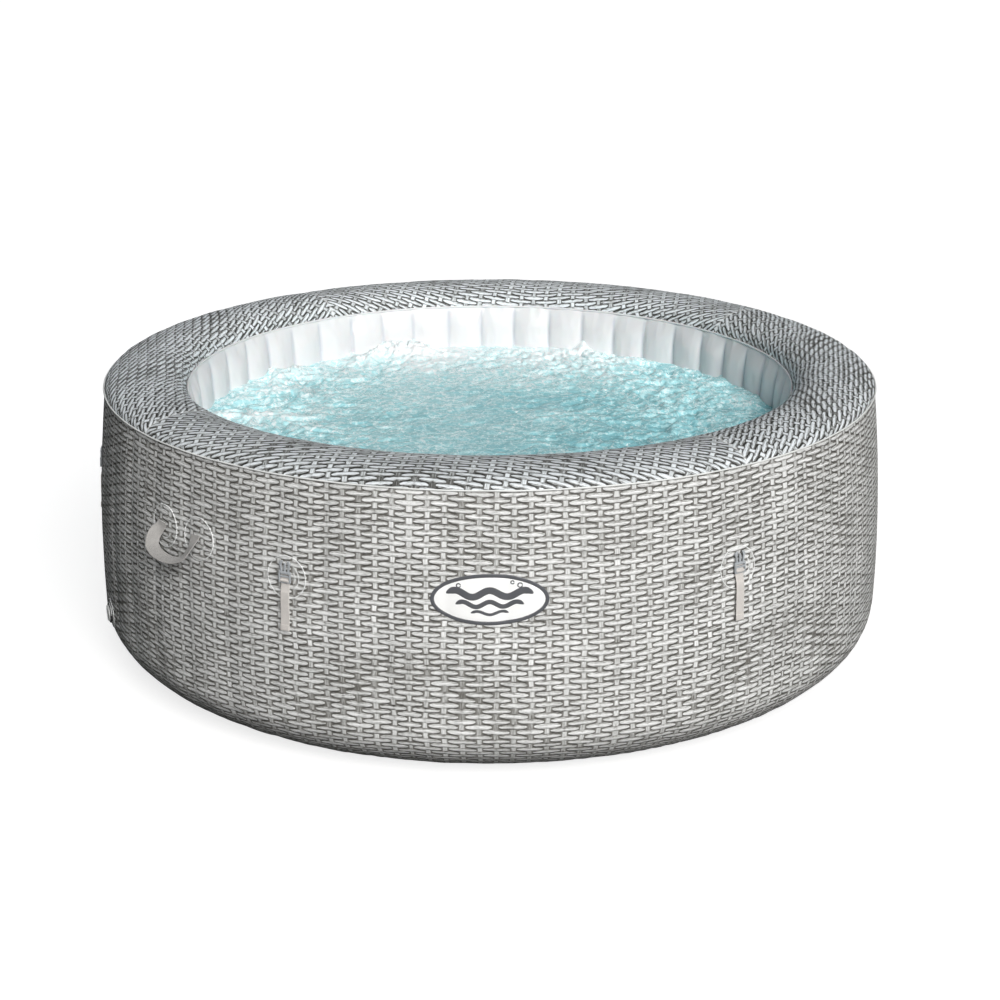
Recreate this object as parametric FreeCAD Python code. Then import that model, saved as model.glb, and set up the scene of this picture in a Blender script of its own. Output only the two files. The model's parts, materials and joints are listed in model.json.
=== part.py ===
import FreeCAD, Part
import math
import os

# Inflatable hot tub for four to six bathers, filled and standing on level ground.
# Millimetres, +Z up, origin at the centre of the base. Azimuth 0 is the front (-Y) and grows towards +X.

# ---- driving dimensions --------------------------------------------------------------------------------------
HEIGHT = 710.0              # top of the padded ring
WALL_R = 980.0              # widest radius of the outer wall
WALL_R_Z = 234.0            # height of that widest circle
WALL_CURVE = 0.000147       # radius lost per square millimetre above or below it
FOOT_R = 794.0              # outer radius of the flat underside
CORNER_Z = 137.0            # height where the rounded bottom corner meets the wall
OUTER_SEAM = (951.5, 674.0)         # radius and height of the seam between wall and top ring
INNER_SEAM = (753.0, 658.5)     # radius and height of the seam between top ring and liner
APEX_R = 846.0              # radius of the highest circle of the top ring
LINER_R = 735.0             # smallest radius of the liner, at mid height
SKIN = 1.5                  # thickness of each PVC skin
BASE_SHEET_R = 806.0
BASE_SHEET_T = 1.5
POOL_FLOOR_T = 6.0

SEAM_AZIMUTHS = (35.5, 125.5, 215.5, 305.5)     # mitred seams of the printed skin, degrees
BEAM_COUNT = 48
BEAM_PHASE = 1.65           # azimuth of the first inner beam
BEAM_WEB = 1.0
BEAM_FLANGE_W = 18.0
BEAM_FLANGE_T = 0.8
BEAM_Z = (140.0, 615.0)
BEAM_CLEAR = 0.4            # between a beam's flange and the skin that it is welded to
WELT_R = 1.6                # bead on the seam between wall and top ring
PIPING_R = 2.0              # white bead between top ring and liner

GAP = 0.15                  # between pieces that are welded face to face
PATCH_T = 0.8
CUTTER = 60.0               # half length of a cutter that goes through the wall

CLIP_COUNT = 6
CLIP_AZIMUTH = -26.5        # first clip; the others follow every 60 degrees
CLIP_Z = 446.0              # height of the clip's lower bar
CLIP_PATCH_R = 49.0
CLIP_AXIS_X = 5.6           # lower bar, out from the wall
CLIP_BAR_R = 1.6
CLIP_W = 29.0
CLIP_LENGTH = 46.0
CLIP_T = 5.0
CLIP_PATCH_RISE = 6.0       # patch centre above the lower bar
CLIP_FRAME_TOP = 20.0       # the ladder frame, above its lower bar
CLIP_MIDDLE_BAR_Z = (8.5, 11.0)
CLIP_SHOULDER_Z = 15.0
CLIP_RAIL_CLEAR = 0.6       # between the webbing and the frame's rails
CLIP_THINNING = {"bar": 1.0, "guide": 1.2, "prong": 0.6}    # each is this much thinner per side than the frame
CLIP_GUIDE_HALF = 2.2
CLIP_GUIDE_TOP = 40.0
CLIP_PRONG = (              # half width and height of one springy prong's corners
    (6.5, 19.0), (10.0, 19.0), (11.5, 33.0), (13.5, 36.0),
    (11.0, 43.0), (7.0, 44.4), (5.0, 43.0), (8.0, 34.0),
)
STRAP_W = 22.0
STRAP_T = 1.3
BAR_CLEAR = 0.3             # between the lower bar and the anchor's loop
WRAP_CLEAR = 0.35           # between the anchor's loop and the tail's wrap
ANCHOR_FOOT_X = 1.15
ANCHOR_FOOT_Z = (-2.0, 14.0)
TAIL_LENGTH = 112.0
TAIL_HEM = 12.0

HANDLE_AZIMUTHS = (-44.9, 135.1)
HANDLE_Z = 488.0            # height of the handle's hinge line
HANDLE_HALF = 62.0          # from the middle of the handle to each end
HANDLE_W = 36.0
HANDLE_T = 3.0
HANDLE_DROP = 78.0          # hinge line to the bottom of the grip
HANDLE_LEG = 20.0           # straight stretch below each end
HANDLE_BOW_W = 26.0         # width of the grip at its lowest point
HANDLE_TILT = 20.0          # how far the grip stands out from the wall at rest, degrees
HANDLE_AXIS_X = 5.0
HANDLE_ROLL_R = 2.2
HANDLE_PATCH_R = 50.0
HANDLE_TAB_X = (1.25, 2.45)
HANDLE_TAB_Z = (3.0, 27.0)      # welded end of the webbing, above the hinge line

BADGE_Z = 441.0
BADGE_HALF = (126.0, 56.5)
BADGE_RIM_W = 7.6

VALVE_AZIMUTH = -70.5
VALVE_Z = 150.0
VALVE_PATCH_R = 36.0
VALVE_R = 21.0
VALVE_FLANGE_R = VALVE_R + 4.0
VALVE_FLANGE_X = (1.9, 3.6)
VALVE_NECK_R = VALVE_R - 4.0
VALVE_NECK_X = 6.0
VALVE_STUB_R = VALVE_R - 5.0
VALVE_STUB_X = -18.0
VALVE_BORE_R = VALVE_R - 8.0
VALVE_SEAT_X = -15.0        # where the diaphragm closes the bore
VALVE_SPOKE_HALF = 1.5
DIAPHRAGM_X = (-14.6, -13.1)
DIAPHRAGM_CLEAR = 0.6
CAP_R = VALVE_R - 1.5
CAP_BORE_R = VALVE_R - 3.6
CAP_X = (4.2, 8.6)
CAP_ROOF_T = 2.4            # of every screw cap
GRIP_T = 4.0                # bar across a cap's face
GRIP_H = 5.0
VALVE_GRIP_H = 1.4
CAP_NOTCHES = 12
CAP_NOTCH_R = 1.2
TETHER_X = (3.8, 5.6)
TETHER_RING_R = (VALVE_R - 0.6, VALVE_R + 3.0)
TETHER_STRAP_W = 6.0
TETHER_REACH = 15.0         # ring edge to the middle of the pull loop
TETHER_LOOP_R = (4.2, 7.0)

PORTS = {"air": (27.0, 400.0), "return": (134.0, 250.0), "suction": (-72.0, 250.0)}    # x and height
PORT_OUTER_R = 22.0
PORT_BORE_R = 19.0
PORT_FLANGE_R = 36.0
PORT_TIP_Y = 1022.0
PORT_INNER_Y = {"air": 718.0, "return": 704.0, "suction": 704.0}
PORT_FLANGE_T = 3.0
PORT_STOP_W = 3.0           # collar that a hose nut bears on
PORT_STOP_T = 3.8
GASKET_T = 2.0
GASKET_SEAT = 0.2           # left between the gasket and its flange
COLLAR_MARGIN = 8.0         # weld collar beyond a port's flange
SCREEN_MARGIN = 6.0
SCREEN_FRONT = 12.0         # screen's face, in front of the duct's end
SCREEN_WALL = 3.0
SCREEN_SKIRT = 9.0
SCREEN_SLOT_H = 2.4
SCREEN_SLOTS = ((-14.0, 9.0), (-8.0, 14.0), (-2.0, 16.0), (4.0, 16.0), (10.0, 13.0), (16.0, 6.0))
CAP_CLEAR = 0.4             # between a duct and the cap or screen on it
DRAIN_X = -183.0
DRAIN_Z = 132.0
DRAIN_R = 13.0
DRAIN_BORE_R = 9.5
DRAIN_INNER_Y = 698.0
DRAIN_FLANGE_R = DRAIN_R + 10.0
DRAIN_FLANGE_T = 3.0
DRAIN_COLLAR_MARGIN = 6.0
DRAIN_FLANGE_CLEAR = 0.3
DRAIN_TUBE_OUT = 16.0       # how far the tube stands out of the wall
DRAIN_CAP_WALL = 3.0
DRAIN_CAP_Y = (4.0, 19.0)   # cap's skirt and face, out from the flange's plane
PLUG_SKIRT = 9.0
PLUG_GRIP_H = 4.0
DRAIN_PLUG_SEAT = 0.6       # between the tube's end and the plug's roof
RISER_R = 31.0              # half-round air duct down the liner
RISER_INSET = 3.0           # its flat face, inside the liner's smallest radius

CHANNEL_R = 15.0            # half-round bubble channel at the foot of the liner
JET_COUNT = 60
JET_R = 1.5
CHANNEL_INSET = 1.5         # between the channel and the liner's foot


# ---- shared geometry -----------------------------------------------------------------------------------------
def wall_radius(z):
    """Outer radius of the wall at a height: a shallow bulge above a quarter-ellipse bottom corner."""
    if z >= CORNER_Z:
        return WALL_R - WALL_CURVE * (z - WALL_R_Z) ** 2
    rise = (CORNER_Z - z) / (CORNER_Z - BASE_SHEET_T - GAP)
    return FOOT_R + (wall_radius(CORNER_Z) - FOOT_R) * math.sqrt(max(0.0, 1.0 - rise * rise))


def wall_outline():
    """Points of the wall's outer face, from the foot up to the top seam."""
    corner_r = wall_radius(CORNER_Z) - FOOT_R
    corner_h = CORNER_Z - BASE_SHEET_T - GAP
    points = []
    for step in range(7):
        angle = math.radians(15.0 * step)
        points.append((FOOT_R + corner_r * math.sin(angle), CORNER_Z - corner_h * math.cos(angle)))
    steps = 8
    for step in range(1, steps + 1):
        z = CORNER_Z + (OUTER_SEAM[1] - CORNER_Z) * step / steps
        points.append((wall_radius(z), z))
    return points


def ring_outline():
    """Points of the top ring's outer face, from the wall's seam over the apex to the liner's seam."""
    points = []
    for step in range(13):
        angle = math.radians(15.0 * step)
        seam_r, seam_z = OUTER_SEAM if angle <= math.pi / 2 else INNER_SEAM
        reach = abs(seam_r - APEX_R)
        points.append((APEX_R + reach * math.cos(angle), seam_z + (HEIGHT - seam_z) * math.sin(angle)))
    return points


def liner_outline():
    """Points of the liner's water side, from the piping down to the pool floor."""
    top_r, top_z = INNER_SEAM
    foot_z = BASE_SHEET_T + POOL_FLOOR_T
    steps = 8
    points = []
    for step in range(steps + 1):
        along = step / steps
        bulge = math.sin(math.pi * along) ** 0.5 if 0 < step < steps else 0.0
        points.append((top_r - (top_r - LINER_R) * bulge, top_z + (foot_z - top_z) * along))
    return points


def spline(points):
    """A smooth edge through (radius, height) points in the XZ plane."""
    curve = Part.BSplineCurve()
    curve.interpolate([FreeCAD.Vector(r, 0, z) for r, z in points])
    return curve


def offset_points(points, distance):
    """The outline moved sideways; positive is to the left of its direction."""
    curve = spline(points)
    moved = []
    for r, z in points:
        tangent = curve.tangent(curve.parameter(FreeCAD.Vector(r, 0, z)))[0]
        moved.append((r - tangent.z * distance, z + tangent.x * distance))
    return moved


def skin(points, inside, outside, start=0.0, sweep=360.0):
    """A skin of revolution between two offsets of an outline, over a range of azimuth."""
    near = spline(offset_points(points, inside))
    far = spline(offset_points(points, outside))
    near_edge, far_edge = near.toShape(), far.toShape()
    joins = [
        Part.LineSegment(near.StartPoint, far.StartPoint).toShape(),
        Part.LineSegment(near.EndPoint, far.EndPoint).toShape(),
    ]
    face = Part.Face(Part.Wire(Part.__sortEdges__([near_edge, joins[1], far_edge, joins[0]])))
    face.rotate(FreeCAD.Vector(0, 0, 0), FreeCAD.Vector(0, 0, 1), start - 90.0)
    return face.revolve(FreeCAD.Vector(0, 0, 0), FreeCAD.Vector(0, 0, 1), sweep)


def ring(r, z, section_r):
    """A welt: a round bead on a circle of the given radius and height."""
    return Part.makeTorus(r, section_r, FreeCAD.Vector(0, 0, z))


def local_frame(azimuth, z):
    """Placement on the wall's face: X out along its normal, Y to the right seen from outside, Z up the wall."""
    angle = math.radians(azimuth)
    out = FreeCAD.Vector(math.sin(angle), -math.cos(angle), 0)
    right = FreeCAD.Vector(math.cos(angle), math.sin(angle), 0)
    up = FreeCAD.Vector(0, 0, 1)
    slope = (wall_radius(z + 1.0) - wall_radius(z - 1.0)) / 2.0
    normal = out - up * slope
    along = up + out * slope
    normal.normalize()
    along.normalize()
    turn = FreeCAD.Rotation(normal, right, along, "ZXY")
    return FreeCAD.Placement(out * wall_radius(z) + up * z, turn)


def on_wall(shape, azimuth, z):
    """Move a shape built in the local frame of local_frame to its place on the wall."""
    moved = shape.copy()
    moved.Placement = local_frame(azimuth, z).multiply(moved.Placement)
    return moved


def cylinder_x(r, x0, x1, y=0.0, z=0.0):
    """A round bar along X."""
    return Part.makeCylinder(r, x1 - x0, FreeCAD.Vector(x0, y, z), FreeCAD.Vector(1, 0, 0))


def cylinder_y(r, y0, y1, x=0.0, z=0.0):
    """A round bar along Y."""
    return Part.makeCylinder(r, y1 - y0, FreeCAD.Vector(x, y0, z), FreeCAD.Vector(0, 1, 0))


def tube_y(outer_r, inner_r, y0, y1, x=0.0, z=0.0):
    """A tube along Y."""
    return cylinder_y(outer_r, y0, y1, x, z).cut(cylinder_y(inner_r, y0, y1, x, z))


def block(x0, x1, y0, y1, z0, z1):
    """A box by its corners."""
    return Part.makeBox(x1 - x0, y1 - y0, z1 - z0, FreeCAD.Vector(x0, y0, z0))


def wall_layer(azimuth, half_width):
    """A sheet of patch material on the wall, full height, around an azimuth."""
    half_angle = math.degrees(half_width / WALL_R)
    return skin(wall_outline(), -GAP, -GAP - PATCH_T, azimuth - half_angle, 2.0 * half_angle)


def wall_patch(azimuth, z, r, hole_r=0.0):
    """A round patch that follows the wall, with an optional hole."""
    cutter = cylinder_x(r, -CUTTER, CUTTER)
    if hole_r > 0.0:
        cutter = cutter.cut(cylinder_x(hole_r, -CUTTER, CUTTER))
    return wall_layer(azimuth, 1.2 * r).common(on_wall(cutter, azimuth, z))


def port_hole(x, z, r):
    """The cylinder that clears a duct through both walls at the back."""
    return cylinder_y(r, LINER_R - 2.0 * CUTTER, WALL_R + 2.0 * CUTTER, x, z)


def duct_holes():
    """Every hole that a duct makes in the walls."""
    holes = [port_hole(x, z, PORT_OUTER_R + GAP) for x, z in PORTS.values()]
    holes.append(port_hole(DRAIN_X, DRAIN_Z, DRAIN_R + GAP))
    return holes


def cut_all(shape, cutters):
    """The shape with every cutter taken away that reaches it."""
    for cutter in cutters:
        if cutter.BoundBox.intersect(shape.BoundBox):
            shape = shape.cut(cutter)
    return shape


# ---- chamber -------------------------------------------------------------------------------------------------
def outer_wall(index):
    """One of the four printed wall panels, between two mitred seams."""
    panel = skin(wall_outline(), 0.0, SKIN, SEAM_AZIMUTHS[index], 90.0)
    valve_bore = on_wall(cylinder_x(VALVE_STUB_R + GAP, -CUTTER, CUTTER), VALVE_AZIMUTH, VALVE_Z)
    return cut_all(panel, duct_holes() + [valve_bore])


def top_ring(index):
    """One of the four printed panels of the padded ring."""
    return skin(ring_outline(), 0.0, SKIN, SEAM_AZIMUTHS[index], 90.0)


def inner_wall():
    """The white liner around the water."""
    return cut_all(skin(liner_outline(), 0.0, SKIN), duct_holes())


def beams():
    """The webs that tie the two walls together, each with a weld flange along both walls."""
    outer = offset_points(wall_outline(), SKIN + BEAM_CLEAR)
    inner = offset_points(liner_outline(), SKIN + BEAM_CLEAR)
    outer_curve, inner_curve = spline(outer), spline(inner)
    steps = 6
    heights = [BEAM_Z[0] + (BEAM_Z[1] - BEAM_Z[0]) * step / steps for step in range(steps + 1)]

    def radius_at(curve, z):
        cutting = Part.LineSegment(FreeCAD.Vector(0, 0, z), FreeCAD.Vector(WALL_R, 0, z))
        hit = curve.intersect(cutting)[0]
        return hit.X

    outer_points = [(radius_at(outer_curve, z), z) for z in heights]
    inner_points = [(radius_at(inner_curve, z), z) for z in heights]

    def slab(left, right, width):
        """A plate between two outlines, width wide."""
        lower, upper = spline(left), spline(right)
        edges = [
            lower.toShape(),
            upper.toShape(),
            Part.LineSegment(lower.StartPoint, upper.StartPoint).toShape(),
            Part.LineSegment(lower.EndPoint, upper.EndPoint).toShape(),
        ]
        face = Part.Face(Part.Wire(Part.__sortEdges__(edges)))
        face.translate(FreeCAD.Vector(0, -width / 2.0, 0))
        return face.extrude(FreeCAD.Vector(0, width, 0))

    inset_outer = [(r - BEAM_FLANGE_T, z) for r, z in outer_points]
    inset_inner = [(r + BEAM_FLANGE_T, z) for r, z in inner_points]
    beam = slab(inner_points, outer_points, BEAM_WEB)
    beam = beam.fuse([slab(inset_outer, outer_points, BEAM_FLANGE_W), slab(inner_points, inset_inner, BEAM_FLANGE_W)])
    copies = []
    for index in range(BEAM_COUNT):
        copy = beam.copy()
        azimuth = BEAM_PHASE + 360.0 / BEAM_COUNT * index
        copy.rotate(FreeCAD.Vector(0, 0, 0), FreeCAD.Vector(0, 0, 1), azimuth - 90.0)
        copies.append(copy)
    return Part.makeCompound(copies)


def disc(r, z0, z1, hole_r=0.0):
    """A flat sheet of the tub's plan."""
    sheet = Part.makeCylinder(r, z1 - z0, FreeCAD.Vector(0, 0, z0))
    if hole_r > 0.0:
        sheet = sheet.cut(Part.makeCylinder(hole_r, z1 - z0, FreeCAD.Vector(0, 0, z0)))
    return sheet


def bubble_channel():
    """The half-round air channel welded around the foot of the liner, with its jet holes."""
    centre_r = liner_outline()[-1][0] - CHANNEL_INSET - CHANNEL_R
    floor_z = BASE_SHEET_T + GAP + POOL_FLOOR_T + 2.0 * GAP
    origin, up = FreeCAD.Vector(0, 0, 0), FreeCAD.Vector(0, 0, 1)

    def dome(section_r):
        arc = Part.Arc(
            FreeCAD.Vector(centre_r - section_r, 0, floor_z),
            FreeCAD.Vector(centre_r, 0, floor_z + section_r),
            FreeCAD.Vector(centre_r + section_r, 0, floor_z),
        )
        base = Part.LineSegment(arc.EndPoint, arc.StartPoint)
        return Part.Face(Part.Wire([arc.toShape(), base.toShape()])).revolve(origin, up, 360.0)

    channel = dome(CHANNEL_R).cut(dome(CHANNEL_R - SKIN))
    jets = []
    for index in range(JET_COUNT):
        azimuth = math.radians(360.0 / JET_COUNT * index)
        centre = FreeCAD.Vector(centre_r * math.sin(azimuth), -centre_r * math.cos(azimuth), floor_z)
        jets.append(Part.makeCylinder(JET_R, CHANNEL_R + 2.0, centre))
    return channel.cut(Part.makeCompound(jets))


def air_riser():
    """The half-round duct down the liner that carries air from its port to the bubble channel."""
    x, z = PORTS["air"]
    channel_top = BASE_SHEET_T + POOL_FLOOR_T + CHANNEL_R + 2.0
    face_y = LINER_R - RISER_INSET
    top = z + RISER_R
    shell = Part.makeCylinder(RISER_R, top - channel_top, FreeCAD.Vector(x, face_y, channel_top))
    hollow = Part.makeCylinder(RISER_R - SKIN, top - channel_top - SKIN, FreeCAD.Vector(x, face_y, channel_top))
    front_half = block(x - RISER_R, x + RISER_R, face_y - RISER_R, face_y, channel_top, top)
    return shell.cut(hollow).common(front_half)


# ---- badge ---------------------------------------------------------------------------------------------------
def badge_oval(half_width, half_height):
    """An oval prism through the front of the wall."""
    oval = Part.Ellipse(FreeCAD.Vector(0, 0, 0), half_width, half_height)
    face = Part.Face(Part.Wire([oval.toShape()]))
    face.rotate(FreeCAD.Vector(0, 0, 0), FreeCAD.Vector(1, 0, 0), 90.0)
    face.translate(FreeCAD.Vector(0, CUTTER - WALL_R, BADGE_Z))
    return face.extrude(FreeCAD.Vector(0, -2.0 * CUTTER, 0))


def badge_rim():
    """The oval's dark border."""
    layer = wall_layer(0.0, 1.1 * BADGE_HALF[0])
    outer = badge_oval(*BADGE_HALF)
    inner = badge_oval(BADGE_HALF[0] - BADGE_RIM_W, BADGE_HALF[1] - BADGE_RIM_W)
    return layer.common(outer.cut(inner))


def badge_plate():
    """The oval's pale field."""
    layer = wall_layer(0.0, 1.1 * BADGE_HALF[0])
    inset = BADGE_RIM_W + GAP
    return layer.common(badge_oval(BADGE_HALF[0] - inset, BADGE_HALF[1] - inset))


# ---- cover clips ---------------------------------------------------------------------------------------------
def clip_azimuths():
    """Azimuth of each cover clip."""
    return [CLIP_AZIMUTH + 360.0 / CLIP_COUNT * index for index in range(CLIP_COUNT)]


def clip_anchor():
    """Short webbing welded to the patch, looped around the clip's lower bar."""
    loop_in = CLIP_BAR_R + BAR_CLEAR
    half = STRAP_W / 2.0
    loop = tube_y(loop_in + STRAP_T, loop_in, -half, half, CLIP_AXIS_X, 0.0)
    foot = block(ANCHOR_FOOT_X, ANCHOR_FOOT_X + STRAP_T, -half, half, *ANCHOR_FOOT_Z)
    return loop.fuse(foot).removeSplitter()


def clip():
    """Male half of a side-release buckle: ladder frame, cross bars and two springy prongs with a centre guide."""
    x0, x1 = CLIP_AXIS_X - CLIP_T / 2.0, CLIP_AXIS_X + CLIP_T / 2.0
    half = CLIP_W / 2.0
    rail = half - STRAP_W / 2.0 - CLIP_RAIL_CLEAR
    thin_bar, thin_guide, thin_prong = (CLIP_THINNING[name] for name in ("bar", "guide", "prong"))
    lower_bar = cylinder_y(CLIP_BAR_R, -half + 0.5, half - 0.5, CLIP_AXIS_X, 0.0)
    rails = [block(x0, x1, start, start + rail, -CLIP_BAR_R, CLIP_FRAME_TOP) for start in (-half, half - rail)]
    middle_bar = block(x0 + thin_bar, x1 - thin_bar, -half, half, *CLIP_MIDDLE_BAR_Z)
    shoulder = block(x0, x1, -half, half, CLIP_SHOULDER_Z, CLIP_FRAME_TOP)
    guide = block(x0 + thin_guide, x1 - thin_guide, -CLIP_GUIDE_HALF, CLIP_GUIDE_HALF,
                  CLIP_FRAME_TOP - 1.0, CLIP_GUIDE_TOP)
    prongs = []
    for side in (-1, 1):
        corners = [FreeCAD.Vector(x0 + thin_prong, side * y, z) for y, z in CLIP_PRONG]
        face = Part.Face(Part.makePolygon(corners + corners[:1]))
        prongs.append(face.extrude(FreeCAD.Vector(CLIP_T - 2.0 * thin_prong, 0, 0)))
    return lower_bar.fuse(rails + [middle_bar, shoulder, guide] + prongs).removeSplitter()


def clip_tail():
    """The loose end of the webbing: it wraps the anchor loop and hangs down the wall."""
    loop_in = CLIP_BAR_R + BAR_CLEAR + STRAP_T + WRAP_CLEAR
    loop_out = loop_in + STRAP_T
    half = STRAP_W / 2.0
    wrap = tube_y(loop_out, loop_in, -half, half, CLIP_AXIS_X, 0.0)
    wrap = wrap.cut(block(0.0, CLIP_AXIS_X + 1.0, -half, half, -loop_out, loop_out))
    front = CLIP_AXIS_X + loop_out
    hanging = block(front - STRAP_T, front, -half, half, -TAIL_LENGTH, 0.0)
    hem = block(front, front + STRAP_T, -half, half, -TAIL_LENGTH, TAIL_HEM - TAIL_LENGTH)
    return wrap.fuse([hanging, hem]).removeSplitter()


# ---- carry handles -------------------------------------------------------------------------------------------
def handle_strap():
    """The webbing grip: a flat U that hangs from two rolled ends on the hinge line."""
    half_w = HANDLE_W / 2.0
    half_t = HANDLE_T / 2.0
    outer = (HANDLE_HALF + half_w, HANDLE_DROP - HANDLE_LEG)
    inner = (HANDLE_HALF - half_w, HANDLE_DROP - HANDLE_LEG - HANDLE_BOW_W)
    ovals = []
    for half_width, depth in (outer, inner):
        oval = Part.Ellipse(FreeCAD.Vector(0, 0, 0), half_width, depth)
        face = Part.Face(Part.Wire([oval.toShape()]))
        face.rotate(FreeCAD.Vector(0, 0, 0), FreeCAD.Vector(1, 1, 1), 120.0)
        face.translate(FreeCAD.Vector(-half_t, 0, -HANDLE_LEG))
        ovals.append(face.extrude(FreeCAD.Vector(HANDLE_T, 0, 0)))
    lower_half = block(-half_t, half_t, -outer[0], outer[0], -HANDLE_DROP, -HANDLE_LEG)
    bow = ovals[0].cut(ovals[1]).common(lower_half)
    ends = [(side * HANDLE_HALF - half_w, side * HANDLE_HALF + half_w) for side in (-1, 1)]
    legs = [block(-half_t, half_t, y0, y1, -HANDLE_LEG, 0.0) for y0, y1 in ends]
    rolls = [cylinder_y(HANDLE_ROLL_R, y0, y1) for y0, y1 in ends]
    strap = bow.fuse(legs + rolls).removeSplitter()
    strap.rotate(FreeCAD.Vector(0, 0, 0), FreeCAD.Vector(0, 1, 0), -HANDLE_TILT)
    strap.translate(FreeCAD.Vector(HANDLE_AXIS_X, 0, 0))
    return strap


def handle_end_azimuths(azimuth):
    """Azimuth of the left and the right end of a handle."""
    step = math.degrees(math.asin(HANDLE_HALF / wall_radius(HANDLE_Z)))
    return [azimuth - step, azimuth + step]


# ---- inflation valve -----------------------------------------------------------------------------------------
def valve_body():
    """Moulded valve: flange on the patch, threaded neck outside and stub inside the chamber."""
    flange = cylinder_x(VALVE_FLANGE_R, *VALVE_FLANGE_X)
    neck = cylinder_x(VALVE_NECK_R, VALVE_FLANGE_X[1], VALVE_NECK_X)
    stub = cylinder_x(VALVE_STUB_R, VALVE_STUB_X, VALVE_FLANGE_X[0])
    bore = cylinder_x(VALVE_BORE_R, VALVE_STUB_X, VALVE_NECK_X)
    spoke = block(VALVE_STUB_X, VALVE_SEAT_X, -VALVE_SPOKE_HALF, VALVE_SPOKE_HALF, -VALVE_BORE_R, VALVE_BORE_R)
    return flange.fuse([neck, stub]).cut(bore).fuse(spoke).removeSplitter()


def valve_diaphragm():
    """Rubber flap that closes the valve against the chamber's pressure."""
    return cylinder_x(VALVE_BORE_R - DIAPHRAGM_CLEAR, *DIAPHRAGM_X)


def valve_cap():
    """Screw cap with a grip bar across its face."""
    skirt, face = CAP_X
    shell = cylinder_x(CAP_R, skirt, face).cut(cylinder_x(CAP_BORE_R, skirt, face - CAP_ROOF_T))
    grip = block(face, face + VALVE_GRIP_H, -GRIP_T / 2.0, GRIP_T / 2.0, 3.0 - CAP_R, CAP_R - 3.0)
    notches = []
    for index in range(CAP_NOTCHES):
        angle = 2.0 * math.pi * index / CAP_NOTCHES
        notches.append(cylinder_x(CAP_NOTCH_R, skirt, face, CAP_R * math.cos(angle), CAP_R * math.sin(angle)))
    return shell.cut(Part.makeCompound(notches)).fuse(grip).removeSplitter()


def valve_tether():
    """Rubber strap that keeps the cap with the tub: a ring behind the cap and a pull loop."""
    ring_in, ring_out = TETHER_RING_R
    loop_in, loop_out = TETHER_LOOP_R
    loop_y = ring_out + TETHER_REACH
    half = TETHER_STRAP_W / 2.0
    collar = cylinder_x(ring_out, *TETHER_X).cut(cylinder_x(ring_in, *TETHER_X))
    strap = block(*TETHER_X, ring_in + 1.0, loop_y - (loop_in + loop_out) / 2.0 + 0.6, -half, half)
    loop = cylinder_x(loop_out, *TETHER_X, loop_y).cut(cylinder_x(loop_in, *TETHER_X, loop_y))
    return collar.fuse([strap, loop]).removeSplitter()


# ---- ports and drain at the back -----------------------------------------------------------------------------
def wall_y(x, z):
    """Where the outer wall's face is at the back, at a given x."""
    return math.sqrt(wall_radius(z) ** 2 - x * x)


def flange_face(x, z, flange_r):
    """Y of the plane that just clears the curved wall and its collar over a round flange."""
    nearest_x = max(0.0, abs(x) - flange_r)
    nearest_z = min(max(WALL_R_Z, z - flange_r), z + flange_r)
    return wall_y(nearest_x, nearest_z) + PATCH_T + 3.0 * GAP


def back_collar(x, z, r, hole_r):
    """The welded collar that seals a duct to the outer wall."""
    azimuth = 180.0 - math.degrees(math.asin(x / wall_radius(z)))
    prism = tube_y(r, hole_r, WALL_R - 1.5 * CUTTER, WALL_R + 2.0 * CUTTER, x, z)
    return wall_layer(azimuth, 1.4 * r).common(prism)


def port_duct(name):
    """A duct from the hose spigot at the back through the air chamber into the bath."""
    x, z = PORTS[name]
    flange_y = flange_face(x, z, PORT_FLANGE_R) + GASKET_T + GASKET_SEAT
    stop_y = flange_y + PORT_FLANGE_T
    duct = tube_y(PORT_OUTER_R, PORT_BORE_R, PORT_INNER_Y[name], PORT_TIP_Y, x, z)
    flange = tube_y(PORT_FLANGE_R, PORT_OUTER_R - 1.0, flange_y, stop_y, x, z)
    stop = tube_y(PORT_OUTER_R + PORT_STOP_W, PORT_OUTER_R - 1.0, stop_y, stop_y + PORT_STOP_T, x, z)
    return duct.fuse([flange, stop]).removeSplitter()


def port_gasket(name):
    """The rubber ring between a port's flange and its collar."""
    x, z = PORTS[name]
    face = flange_face(x, z, PORT_FLANGE_R)
    return tube_y(PORT_FLANGE_R - 3.0, PORT_OUTER_R + GAP, face, face + GASKET_T, x, z)


def screen(name):
    """A slotted cap over a duct's inner end that keeps hair and leaves out of the pump."""
    x, z = PORTS[name]
    duct_end = PORT_INNER_Y[name]
    front = duct_end - SCREEN_FRONT
    skirt_end = duct_end + SCREEN_SKIRT
    shell = cylinder_y(PORT_OUTER_R + SCREEN_MARGIN, front, skirt_end, x, z)
    shell = shell.cut(cylinder_y(PORT_OUTER_R + CAP_CLEAR, front + SCREEN_WALL, skirt_end, x, z))
    slots = []
    for height, reach in SCREEN_SLOTS:
        low = z + height - SCREEN_SLOT_H / 2.0
        slots.append(block(x - reach, x + reach, front, front + SCREEN_WALL + 2.0, low, low + SCREEN_SLOT_H))
    return shell.cut(Part.makeCompound(slots))


def drain_duct():
    """The drain's tube through the chamber, with its flange outside."""
    flange_y = flange_face(DRAIN_X, DRAIN_Z, DRAIN_FLANGE_R) + DRAIN_FLANGE_CLEAR
    tip_y = flange_y - DRAIN_FLANGE_CLEAR + DRAIN_TUBE_OUT
    duct = tube_y(DRAIN_R, DRAIN_BORE_R, DRAIN_INNER_Y, tip_y, DRAIN_X, DRAIN_Z)
    flange = tube_y(DRAIN_FLANGE_R, DRAIN_R - 1.0, flange_y, flange_y + DRAIN_FLANGE_T, DRAIN_X, DRAIN_Z)
    return duct.fuse(flange).removeSplitter()


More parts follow.
